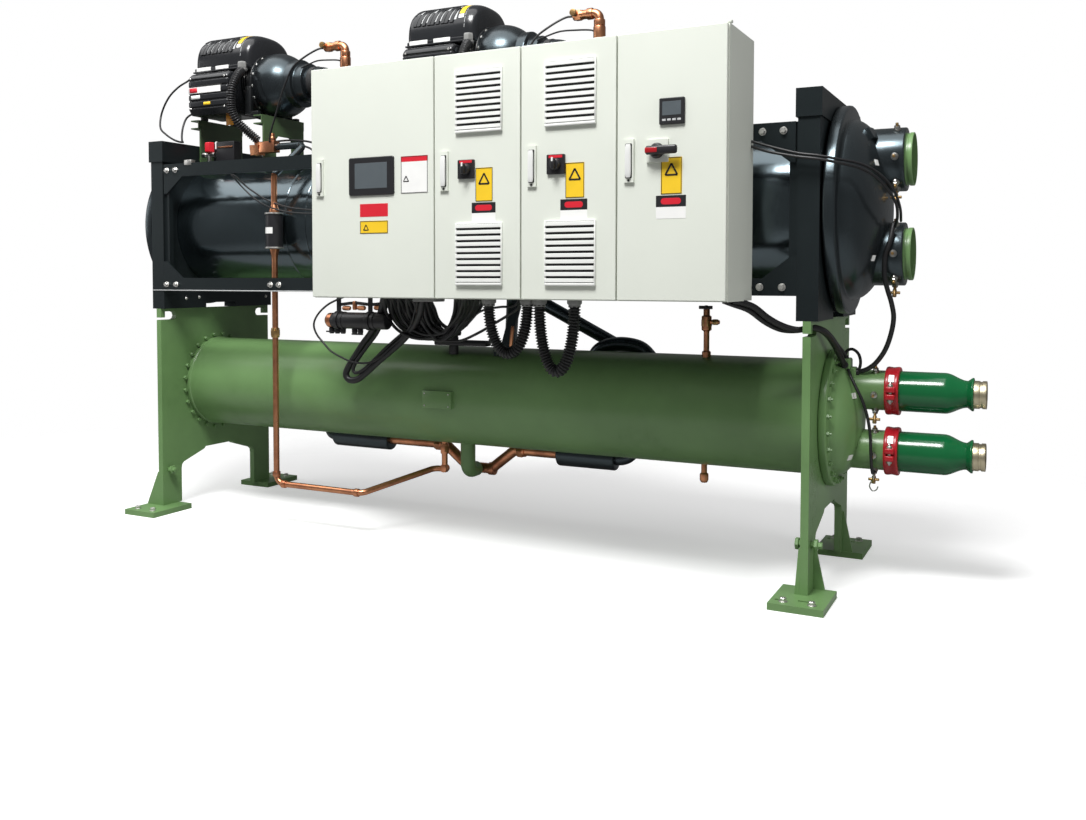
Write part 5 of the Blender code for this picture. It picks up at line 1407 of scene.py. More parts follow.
for number in range(1, 5):
    node = f"lever_{number}"
    low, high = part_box(node)
    x, z = halfway(low, high)
    halfWidth = (high.x - low.x) / 2
    rows = np.linspace(-1, 1, 15)
    width = halfWidth * (0.72 + 0.28 * np.sqrt(np.clip(1 - rows**4, 0, 1)))
    depth = 0.004 * np.sqrt(np.clip(1 - rows**2, 0, 1))
    turn = np.linspace(0, 2 * np.pi, 20, endpoint=False)
    midDepth, halfDepth = (low.y + high.y) / 2, (high.y - low.y) / 2
    rounded = np.sign(
        np.cos(turn)
    ) * np.abs(np.cos(turn)) ** 0.55, np.sign(np.sin(turn)) * np.abs(np.sin(turn)) ** 0.55
    grid = np.stack(
        [
            x + width[:, None] * rounded[0][None],
            midDepth + (halfDepth - 0.0035 + depth[:, None] * 0.875) * rounded[1][None],
            z + (high.z - low.z) / 2 * rows[:, None] + 0 * turn[None],
        ],
        -1,
    )
    # a near-black plate just larger than the lever, behind it: painted shade in the gap round the lever
    tile(
        f"{node}_recess", (x, z), halfWidth + 0.0022, (high.z - low.z) / 2 + 0.003, high.y + 0.0001, 0.0014, 0.005,
        shadePaint, f"door_{number}", 0.0002,
    )
    piece(
        f"{node}_lock",
        lathe("lock", [0, 2.2, 4.2, 2.2, 5, 0, 0, 0], 0.0006, 2, (x, high.y + 0.0002, low.z - 0.011), (0, -1, 0), 20),
        shadePaint, f"door_{number}",
    )
    piece(
        f"{node}_finished", gridMesh(node, tipped(grid), loopV=True, sharp=50), leverPaint, node, node
    )

screenLow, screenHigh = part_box("touch_screen")
sx, sz = halfway(screenLow, screenHigh)
halfW, halfH = (screenHigh.x - screenLow.x) / 2, (screenHigh.z - screenLow.z) / 2
bezel = tile(
    "touch_screen_bezel", (sx, sz), halfW, halfH, screenLow.y, screenHigh.y - screenLow.y, 0.010, blackPlastic,
    "door_1", 0.003,
)
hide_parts("touch_screen")
tile(
    "touch_screen_glass", (sx, sz + 0.002), halfW - 0.034, halfH - 0.028, screenLow.y - 0.0008, 0.003, 0.003,
    screenGlass, "door_1", 0.0006,
)

low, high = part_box("power_meter")
mx, mz = halfway(low, high)
bezel = tile(
    "power_meter_bezel", (mx, mz), (high.x - low.x) / 2, (high.z - low.z) / 2, low.y, high.y - low.y, 0.005,
    blackPlastic, "door_4", 0.003,
)
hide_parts("power_meter")
tile(
    "power_meter_glass", (mx, mz + 0.010), 0.037, 0.026, low.y - 0.0008, 0.003, 0.002, screenGlass, "door_4",
    0.0005,
)
for i in range(4):
    tile(
        f"power_meter_button_{i + 1}", (mx - 0.030 + 0.020 * i, mz - 0.033), 0.007, 0.004, low.y - 0.0010, 0.003,
        0.001, paleFilm, "door_4", 0.0005,
    )

plates = (
    ("notice", "door_1", (1.9105, 1.737), 0.0685, 0.080, whitePlate),
    ("notice_head", "door_1", (1.9105, 1.805), 0.0685, 0.012, redPlate),
    ("red_sign", "door_1", (1.6985, 1.5895), 0.0745, 0.0285, redPlate),
    ("yellow_sign_1", "door_1", (1.6985, 1.515), 0.0745, 0.028, yellowPlate),
    ("yellow_sign_2", "door_2", (2.254, 1.680), 0.040, 0.070, yellowPlate),
    ("yellow_sign_3", "door_3", (2.666, 1.680), 0.041, 0.070, yellowPlate),
    ("yellow_sign_4", "door_4", (3.066, 1.680), 0.042, 0.070, yellowPlate),
    ("lower_sign_2", "door_2", (2.2515, 1.5835), 0.0565, 0.022, blackPlastic),
    ("lower_sign_3", "door_3", (2.6615, 1.5835), 0.0585, 0.022, blackPlastic),
    ("lower_sign_4", "door_4", (3.0645, 1.5835), 0.0595, 0.022, blackPlastic),
    ("lower_text_2", "door_2", (2.2515, 1.540), 0.0565, 0.0225, whitePlate),
    ("lower_text_3", "door_3", (2.6615, 1.540), 0.0585, 0.0225, whitePlate),
    ("lower_text_4", "door_4", (3.0645, 1.540), 0.0595, 0.0225, whitePlate),
)
for name, door, centre, w, h, paint in plates:
    depth = 0.0008 if name != "notice_head" else 0.0011
    tile(f"plate_{name}", centre, w, h, front["door"] - depth, depth + 0.0005, 0.0015, paint, door, 0.0003)


def bar(name, start, end, width, depth):
    # a flat bar from one point to another across y: four corners at each end
    start, end = np.asarray(start, float), np.asarray(end, float)
    along = (end - start) / np.linalg.norm(end - start)
    side = np.cross(along, (0, 1.0, 0)) * width / 2
    out = np.array([0, depth / 2, 0])
    rings = [
        np.array([p + a * side + b * out for a, b in ((-1, -1), (1, -1), (1, 1), (-1, 1))]) for p in (start, end)
    ]
    grid = np.stack([rings[0].mean(0) + 0 * rings[0], *rings, rings[1].mean(0) + 0 * rings[1]])
    return gridMesh(name, grid, loopV=True, sharp=30)


def signLines(name, door, centre, w, h, mark, size):
    # a dark border drawn in by 2 mm and a bare triangle: thin bars on the plate
    y = front["door"] - 0.0012
    x, z = centre
    corners = [(x + a * (w - 0.002), y, z + b * (h - 0.002)) for a, b in ((-1, -1), (1, -1), (1, 1), (-1, 1))]
    tips = [(x + mark[0] + a * size, y, z + mark[1] + b * size) for a, b in ((-1, -0.8), (1, -0.8), (0, 1))]
    bars = [
        bar(name, p, q, width, 0.0012)
        for points, width in ((corners, 0.0022), (tips, size * 0.28))
        for p, q in zip(points, points[1:] + points[:1])
    ]
    joined(name, bars, blackPlastic, door)


signLines("sign_lines_1", "door_1", (1.6985, 1.515), 0.0745, 0.028, (-0.042, -0.002), 0.013)
for number, x in ((2, 2.254), (3, 2.666), (4, 3.066)):
    signLines(f"sign_lines_{number}", f"door_{number}", (x, 1.680), 0.041, 0.070, (0, 0.022), 0.024)
signLines("sign_lines_notice", "door_1", (1.9105, 1.737), 0.0685, 0.080, (-0.042, -0.018), 0.013)
for number, x in ((2, 2.2515), (3, 2.6615), (4, 3.0645)):
    tile(
        f"plate_lower_oval_{number}", (x, 1.5835), 0.040, 0.012, front["door"] - 0.0012, 0.0016, 0.0115, redPlate,
        f"door_{number}", 0.0003,
    )
print("cabinet front made")


# fixings: bolt heads on the rails, nuts round the flanges, plugs on the connections

feet = ("foot_front_left", "foot_back_left", "foot_front_right", "foot_back_right")
fixings = {
    "railBolt": {"across": 0.032, "height": 0.013},
    "railPlaces": ((0.076, 1.874), (0.138, 1.874), (0.064, 1.2545), (0.134, 1.2545), (0.792, 1.2545), (0.847, 1.2545),
        (3.318, 1.874), (3.401, 1.874), (3.312, 1.2545), (3.401, 1.2545)),
    "sheetBolts": ((0.130, 1.176), (0.230, 1.181), (0.790, 1.176)),
    "flangeNuts": 24,
    "flangeCircle": 0.271,
    "flangeFaces": (
        (3.5503, 1, 0.012, 0.007),
        (-0.0503, -1, 0.012, 0.007),
        (0.016, 1, 0.013, 0),
        (3.484, -1, 0.013, 0),
    ),  # x, the way out, height and stud of each ring of nuts
}

b = fixings["railBolt"]
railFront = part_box("rail_upper")[0].y
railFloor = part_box("rail_lower")[0].z


def boltWithWasher(name, places, direction, across, height, washer=1.55):
    # hexagon heads, each on a round washer that is so many times as wide
    along = frameOf(direction)[0]
    discs = [peg(name, across / 2 * washer, 0, 0.0025, 0.0008, 1, place, direction, 18) for place in places]
    heads = hexBolts(name, [np.asarray(place) + along * 0.0022 for place in places], direction, across, height)
    return joined(name, [*discs, heads], zinc)


boltWithWasher(
    "rail_bolts", [(x, railFront, z) for x, z in fixings["railPlaces"]], (0, -1, 0), b["across"] * 0.62, b["height"]
)
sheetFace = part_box("tube_sheet_left")[1].x
boltWithWasher("sheet_bolts", [(sheetFace + 0.0003, y, z) for y, z in fixings["sheetBolts"]], (1, 0, 0), 0.012, 0.006)

n = fixings["flangeNuts"]
circle = fixings["flangeCircle"]
nuts = [
    hexBolts("nuts", ringOf((x, midY, condenserZ), circle, n, 0.13), (side, 0, 0), 0.021, height, stud)
    for x, side, height, stud in fixings["flangeFaces"]
]
joined("flange_nuts", nuts, greenPaint)
footBolts = []
for node in feet:
    low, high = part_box(node)
    near = low.y if "front" in node else high.y
    out = 1 if "front" in node else -1
    footBolts += [((low.x + high.x) / 2 + side * 0.055, near + out * 0.045, 0.0278) for side in (-1, 1)]
boltWithWasher("foot_bolts", footBolts, (0, 0, 1), 0.024, 0.014, 1.5)
pins = []
for x in (0.0, 3.5):
    pins.append(
        lathe(
            "pin", [0, 62, 14, 62, 14, 46, 25, 44, 25, 30, 15, 28, 15, -28, 25, -30, 25, -44, 0, -44], 0.002, 2,
            (x, 0.050, 0.222), (1, 0, 0), 6, sharp=25,
        )
    )
joined("leg_pins", pins, greenPaint)
print("fixings made")


def probe(name, centre, radius, angle, x, size=1.0, valve=False):
    # a plug that stands out from a round pipe: steel seat, hexagon, brass tip along one radial direction
    turn = math.radians(angle)
    out = (0, -math.cos(turn), math.sin(turn))
    start = np.array([x, centre[0] - radius * math.cos(turn), centre[1] + radius * math.sin(turn)])
    seat = turned(
        name, eased([(0, 0.008), (0.0155 * size, 0.008), (0.0165 * size, -0.004), (0, -0.004)], 0.002, 2), start, out,
        24,
    )
    hexagon = peg(name, 0.0125 * size, 0.006, 0.019, 0.002, 2, start, out, 6, sharp=20)
    joined(f"{name}_plug", [seat, hexagon], steel)
    tip = peg(name, 0.0065 * size, 0.017, 0.030, 0.0015, 2, start, out, 20)
    pieces = [tip]
    if valve:
        stem = np.asarray(out)
        pieces.append(peg(name, 0.0085, 0.030, 0.062, 0.002, 2, start, out, 20))
        pieces.append(peg(name, 0.006, -0.022, 0.022, 0.002, 2, start + stem * 0.044, (1, 0, 0), 16))
    joined(f"{name}_tip", pieces, brass)


probes = {  # degrees up from the front of each water pipe; the last probe has a valve
    "evaporator": {"angles": (62, 0, -48, -66), "size": 0.95, "fromEnd": 0.062},
    "condenser": {"angles": (70, -8, -68), "size": 0.9, "x": 3.704},
}

for level in ("upper", "lower"):
    for shell, values in probes.items():
        r, y, z, start, end = tubeOf(f"{shell}_nozzle_{level}")
        for number, angle in enumerate(values["angles"], 1):
            x = values["x"] if "x" in values else end - values["fromEnd"]
            valve = number == len(values["angles"])
            probe(f"{shell}_{level}_{number}", (y, z), r, angle, x, values["size"], valve)


def dishPoint(node, key, y, z):
    # the dish's surface above the point y, z: face + ring + depth * sqrt(1 - (distance / dish radius)^2)
    values = heads[key]
    radius, y0, z0, low, high = tubeOf(node)
    away = min(0.999, math.hypot(y - y0, z - z0) / values["dish"])
    x = low + values["ring"] + values["depth"] * math.sqrt(1 - away**2)
    slope = values["depth"] / values["dish"] * away / math.sqrt(1 - away**2)
    outward = np.array(
        [
            1.0, slope * (y - y0) / max(1e-6, math.hypot(y - y0, z - z0)),
            slope * (z - z0) / max(1e-6, math.hypot(y - y0, z - z0)),
        ]
    )
    return np.array([x, y, z]), outward / np.linalg.norm(outward)


def surfaceTag(name, spot, outward, width, height, thickness, paint):
    # a small plate laid on a curved surface: two unit vectors across the outward one carry its outline
    outward = np.asarray(outward) / np.linalg.norm(outward)
    across = np.cross((0, 0, 1.0), outward)
    across /= np.linalg.norm(across)
    up = np.cross(outward, across)
    shape = flatOutline(width / 2, height / 2, 0.002, 3)
    grid = np.stack(
        [np.asarray(spot) + shape[:, :1] * across + shape[:, 1:] * up + outward * h for h in (-0.004, thickness)]
    )
    piece(name, gridMesh(name, tipped(grid), loopV=True, sharp=30), paint)


for name, node, key, y, z, w, h, paint, thick in (
    ("tag_evaporator_upper", "evaporator_water_box", "evaporator", 0.262, 1.757, 0.030, 0.024, whitePlate, 0.002),
    ("tag_evaporator_lower", "evaporator_water_box", "evaporator", 0.262, 1.372, 0.030, 0.024, whitePlate, 0.002),
    ("tag_condenser_upper", "condenser_water_box", "condenser", 0.325, 0.800, 0.036, 0.024, whitePlate, 0.002),
    ("tag_condenser_lower", "condenser_water_box", "condenser", 0.325, 0.540, 0.036, 0.024, whitePlate, 0.002),
    ("boss_evaporator", "evaporator_water_box", "evaporator", 0.330, 1.880, 0.060, 0.052, foamBlack, 0.014),
):
    spot, outward = dishPoint(node, key, y, z)
    surfaceTag(name, spot, outward, w, h, thick, paint)

# couplings: ring, two bolt pads, bolts and a bare plate
bore = 0.0845  # radius inside the red ring
for level in ("upper", "lower"):
    node = f"coupling_{level}"
    low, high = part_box(node)
    x, z = halfway(low, high)
    out, half = (high.z - low.z) / 2, (high.x - low.x) / 2
    ring = turned(
        node,
        eased(
            [
                (bore, half), (out - 0.002, half), (out, half - 0.008), (out - 0.003, 0.0), (out, 0.008 - half),
                (out - 0.002, -half), (bore, -half),
            ],
            0.003,
        ),
        (x, midY, z), (1, 0, 0), 96, closed=True,
    )
    parts = [ring]
    for side in (-1, 1):
        for up in (-1, 1):
            edges = sorted((midY + side * (bore + 0.004), midY + side * (out + 0.026)))
            heights = sorted((z + up * 0.004, z + up * 0.027))
            parts.append(
                roundBox(
                    node, (x - half + 0.009, edges[0], heights[0]), (x + half - 0.009, edges[1], heights[1]), 0.005
                )
            )
    joined(f"{node}_clamp", parts, couplingRed, "frame", node)
    bolts = [
        hexBolts(node, [(x, midY + side * (out + 0.010), z + up * 0.027)], (0, 0, up), 0.018, 0.010, 0.006)
        for side in (-1, 1)
        for up in (-1, 1)
    ]
    shank = [
        turned(
            node, [(0, 0.03), (0.006, 0.03), (0.006, -0.03), (0, -0.03)], (x, midY + side * (out + 0.010), z),
            (0, 0, 1), 16,
        )
        for side in (-1, 1)
    ]
    joined(f"{node}_bolts", [*bolts, *shank], zinc)
    surfaceTag(
        f"{node}_plate", (x, midY - (out - 0.001) * 0.82, z + out * 0.572), (0, -0.82, 0.572), 0.022, 0.034, 0.0012,
        paleFilm,
    )
    surfaceTag(f"{node}_gasket", (x, midY - bore, z), (0, -1, 0), 0.03, 0.006, 0.004, gasket)
print("couplings made")


# condenser fittings: the rating bracket, relief valve, drain, cable block

fittings = {  # each box as two corners in millimetres
    "ratingPlate": (1603, 171.8, 647.5, 1763, 177.2, 732.5),
    "ratingTop": (1600, 172, 728, 1766, 198, 734.5),
    "block": (3562, 362, 862, 3606, 442, 952),
    "blockSide": (3600, 372, 868, 3628, 430, 915),
}
joined(
    "rating_bracket",
    [roundBox("bracket", *mm(*fittings[key]), 0.002, 2) for key in ("ratingPlate", "ratingTop")]
    + [roundBox("bracket", (x, 0.172, 0.648), (x + 0.006, 0.200, 0.732), 0.002, 2) for x in (1.601, 1.759)],
    greenPaint,
)
boltWithWasher(
    "rating_rivets", [(x, 0.1718, z) for x in (1.615, 1.751) for z in (0.660, 0.720)], (0, -1, 0), 0.005, 0.002, 1.4
)

rx, ry = 2.975, 0.400  # the relief valve's middle
stemProfile = eased(
    [
        (0, 0.242), (0.0145, 0.242), (0.0145, 0.200), (0.0225, 0.196), (0.0225, 0.134), (0.013, 0.128), (0.013, 0.04),
        (0.020, 0.036), (0.020, 0.0), (0, 0.0),
    ],
    0.003, 3,
)
reliefBody = turned("relief", stemProfile, (rx, ry, 0.922), (0, 0, 1), 36)
arm = lathe("relief", [0, 60, 8.5, 60, 10.5, 52, 10.5, 0, 0, 0], 0.002, 2, (rx, ry, 1.092), (1, 0, 0), 24)
joined("relief_valve", [reliefBody, arm], copper)
union("relief_union", (rx, ry, 1.088), (0, 0, 1), 0.050, 0.050)
union("relief_arm_union", (rx + 0.040, ry, 1.092), (1, 0, 0), 0.030, 0.026)
joined(
    "relief_handle",
    [
        roundBox("handle", (rx - 0.034, ry - 0.012, 1.150), (rx + 0.030, ry - 0.006, 1.166), 0.003, 2),
        peg("handle", 0.010, -0.012, 0.012, 0.002, 2, (rx, ry - 0.010, 1.158), (0, 1, 0), 20),
    ],
    blackPlastic,
)
drain = lathe(
    "drain", [0, 94, 14, 92, 20, 80, 20, 52, 13.5, 48, 13.5, 0, 0, 0], 0.003, 3, (2.957, midY, 0.446), (0, 0, -1), 32
)
piece("condenser_drain", drain, copper)

joined(
    "cable_block",
    [roundBox("block", *mm(*fittings["block"]), 0.010, 4), roundBox("block", *mm(*fittings["blockSide"]), 0.008, 3)],
    greenPaint,
)
joined(
    "cable_block_glands",
    [
        lathe("gland", [0, 12, 14, 12, 16, -4, 0, -4], 0.002, 2, place, out, 24)
        for place, out in (
            ((3.585, 0.362, 0.925), (0, -1, 0)), ((3.628, 0.395, 0.893), (1, 0, 0)),
            ((3.580, 0.395, 0.952), (0, 0, 1)),
        )
    ],
    blackPlastic,
)
print("condenser fittings made")


# under the cabinet: strainer on its straps, a valve and struts on the shell, glands on the cabinet's floor

underneath = {
    "strainer": (1.128, 1.500, 0.028, 1.079, 0.041),  # its two ends, y, z and radius
    "ridgesAt": (0.11, 0.30),
    "strapsAt": (1.205, 1.395),
    "strapBand": (1.215, 1.158, 1.30, 1.166, 1.40, 1.160, 1.50, 1.170),
    "valvesAt": (1.160, 1.195, 1.230, 1.300, 1.335),
    "fittings": ((1.250, 0.020, (1, 0, 0)), (1.300, 0.034, (0, 0, 1)), (1.340, 0.022, (1, 0, 0)),
        (1.440, 0.024, (1, 0, 0)), (1.475, 0.040, (0, 0, 1))),
}
u = underneath
sx, ex, y, z, r = u["strainer"]
body = turned(
    "strainer",
    eased(
        [
            (0, ex - sx), (r - 0.004, ex - sx), (r, ex - sx - 0.006), (r, 0.062), (r - 0.003, 0.050),
            (r - 0.003, 0.044), (0, 0.044),
        ],
        0.003,
    ),
    (sx, y, z), (1, 0, 0), 40,
)
ridges = [
    peg("strainer", r + 0.003, x - 0.006, x + 0.006, 0.002, 2, (sx, y, z), (1, 0, 0), 40) for x in u["ridgesAt"]
]
joined("strainer_body", [body, *ridges], blackPlastic)
tip = turned(
    "strainerTip", eased([(0, 0.052), (r - 0.004, 0.052), (r - 0.004, 0.020), (r - 0.018, 0.004), (0, 0.0)], 0.003),
    (sx, y, z), (1, 0, 0), 40,
)
piece("strainer_tip", tip, copper)
straps = []
for x in u["strapsAt"]:
    straps.append(
        turned(
            "strap",
            eased([(r - 0.002, 0.012), (r + 0.006, 0.012), (r + 0.006, -0.012), (r - 0.002, -0.012)], 0.001, 2),
            (x, y, z), (1, 0, 0), 40, closed=True,
        )
    )
    straps.append(
        roundBox("strap", (x - 0.012, y - 0.004, z + r), (x + 0.012, y + 0.004, railFloor - 0.0004), 0.001, 1)
    )
band = [(x, y + 0.004, z) for x, z in zip(u["strapBand"][::2], u["strapBand"][1::2])]
straps.append(swept("strap", curvedPath(band, 20), 0.008, 12))
joined("strainer_straps", straps, blackPlastic)
bits = [
    lathe(
        "bit", [0, 22, 10, 22, 12, 12, 12, -12, 10, -22, 0, -22], 0.002, 2, (x, y + 0.003, z + r + h), axis, 8,
        sharp=25,
    )
    for x, h, axis in u["fittings"]
]
joined("strainer_fittings", bits, copper)
valves = [
    lathe("bit", [0, 30, 11, 30, 14, 20, 14, 0, 0, 0], 0.002, 2, (x, y, z - r + 0.004), (0, 0, -1), 20)
    for x in u["valvesAt"]
]
handles = [
    roundBox("bit", (1.128, y - 0.008, z - r - 0.020), (1.245, y + 0.004, z - r - 0.012), 0.003, 2),
    roundBox("bit", (1.285, y - 0.008, z - r - 0.030), (1.350, y + 0.004, z - r - 0.021), 0.003, 2),
]
joined("strainer_valves", [*valves, *handles], blackPlastic)

shellTop = condenserZ + condenserRadius
flat = [
    roundBox("flatValve", (1.600, 0.285, shellTop + 0.012), (1.900, 0.345, shellTop + 0.040), 0.008),
    lathe(
        "flatValve", [0, 60, 18, 60, 24, 40, 24, -45, 0, -45], 0.003, 3, (1.70, 0.315, shellTop + 0.012), (0, 0, 1),
        28,
    ),
    lathe(
        "flatValve", [0, 14, 34, 14, 38, 6, 38, -6, 34, -14, 0, -14], 0.003, 3, (1.70, 0.315, shellTop + 0.075),
        (0, 0, 1), 32,
    ),
]
joined("shell_valve", flat, blackPlastic)
brace = [
    bar("brace", (2.062, 0.30, 1.160), (1.990, 0.30, 0.912), 0.045, 0.020),
    bar("brace", (2.062, 0.30, 1.160), (2.062, 0.30, 1.242), 0.045, 0.020),
    bar("brace", (1.945, 0.30, 0.925), (2.060, 0.30, 0.925), 0.030, 0.040),
]
joined("shell_brace", brace, railBlack)
piece(
    "brace_lamp",
    lathe("lamp", [0, 100, 6, 100, 9, 80, 9, 0, 0, 0], 0.002, 2, (2.050, 0.262, 0.960), (0.10, 0, 0.99), 20), copper,
)

glands = []
for x, span, drop in cords["loops"]:
    for side in (-1, 1):
        glands.append(
            lathe(
                "gland", [0, 0, 31, 0, 34, 5, 34, 17, 30, 22, 27.8, 22, 27.8, 34, 0, 34], 0.002, 2,
                (x + side * span / 2, -cords["conduits"]["setback"], floorOfCabinet - 0.0004), (0, 0, -1), 8,
                sharp=20,
            )
        )
joined("floor_glands", glands, greyPlastic)
piece(
    "bundle_bracket",
    roundBox("bracket", (1.735, -0.120, floorOfCabinet - 0.020), (1.860, -0.035, floorOfCabinet - 0.0004), 0.004),
    greyPlastic,
)
piece(
    "cabinet_lug",
    roundBox(
        "lug", (3.262, -0.352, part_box("cabinet_body")[1].z + 0.0002),
        (3.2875, -0.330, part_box("cabinet_body")[1].z + 0.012), 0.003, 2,
    ),
    cabinetPaint,
)
print("parts under the cabinet made")


# small parts round the compressors

smallParts = {  # points for the first compressor, in millimetres
    "cap": (157, 245, 2019),
    "stem": (150, 245, 1979, 150, 245, 1985),
    "sensorBox": (218, 225, 1905, 349, 290, 2046),
    "sensorLid": (231, 220.5, 2010, 340, 230, 2018),
    "fittings": (600, 250, 2008, 500, 250, 2008),
    "tag": (276, 244, 2136, 330, 252, 2196),
    "upperTube": (549, 290, 2030, 640, 300, 2036, 740, 300, 2030, 817, 300, 2018, 900, 300, 1990, 930, 300, 1880),
    "lowerTube": (560, 285, 2012, 640, 290, 2010, 720, 290, 2004, 800, 290, 1992, 850, 290, 1960, 865, 290, 1880),
}

for number, left in enumerate(k["starts"], 1):
    shift = left - k["starts"][0]
    at = {key: mm(*values) + (shift, 0, 0) for key, values in smallParts.items()}
    red = [
        lathe(
            "cap", [0, 29, 26, 29, 29, 24, 29, -22, 24, -27, 0, -27], 0.003, 3, at["cap"][0], (0, 0, 1), 6, sharp=25
        )
    ]
    joined(f"valve_{number}_cap", red, redPlate)
    stem = [
        lathe(
            "stem", [0, 47, 14.5, 47, 14.5, 20, 10, 16, 10, -16, 14.5, -20, 14.5, -47, 0, -47], 0.002, 2,
            at["stem"][0], (1, 0, 0), 20,
        ),
        peg("stem", 0.011, 0.0, 0.07, 0.002, 2, at["stem"][1], (0, 0, -1), 20),
    ]
    joined(f"valve_{number}_stem", stem, steel)
    piece(f"sensor_{number}_box", roundBox("box", *at["sensorBox"], 0.007), blackPlastic)
    piece(f"sensor_{number}_lid", roundBox("lid", *at["sensorLid"], 0.002, 2), copper)
    block = lofted(
        "block", np.array([(0.225, 1.958), (0.275, 1.958), (0.283, 2.012), (0.217, 2.012)]),
        np.array([(0.466 + shift, 0.94, 0.94), (0.472 + shift, 1, 1), (0.5262 + shift, 1, 1)]), (0.25, 1.985), 30,
    )
    piece(f"block_{number}_copper", block, copper)
    fitting = [
        lathe("fitting", [0, 64, 13, 64, 13, 44, 19, 40, 19, 0, 0, 0], 0.002, 2, at["fittings"][0], (0, 0, 1), 24),
        lathe("fitting", [0, 50, 10, 50, 15, 35, 15, 0, 0, 0], 0.002, 2, at["fittings"][1], (-0.35, 0, 0.94), 24),
    ]
    joined(f"fitting_{number}_copper", fitting, copper)
    tubes = [swept("tube", curvedPath(at[key], 40), 0.0055, 12) for key in ("upperTube", "lowerTube")]
    joined(f"tubes_{number}_black", tubes, cableRubber)
    piece(f"tag_{number}_orange", roundBox("tag", *at["tag"], 0.004, 2), orangePlastic)
piece(
    "rail_clip",
    roundBox(
        "clip", (0.205, railFront - 0.004, 1.896), (0.255, railFront + 0.030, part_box("rail_upper")[1].z + 0.016),
        0.002, 2,
    ),
    zinc,
)
# a pale strip along the lower rail's bottom edge: painted highlight where the black rail's lip catches the light
edge = roundBox(
    "railPaintedHighlight", (-0.040, railFront - 0.0045, railFloor - 0.0002),
    (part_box("cabinet_body")[0].x + 0.3, railFront + 0.004, railFloor + 0.0055), 0.0015, 2,
)
piece("rail_edge", edge, paleFilm)
print("small parts made")


# cables: smooth curves through points read off the photo at chosen depths, but for the copies riser_2, neck_2 and
# drive_2; each has its diameter, then x, y, z after x, y, z, in millimetres

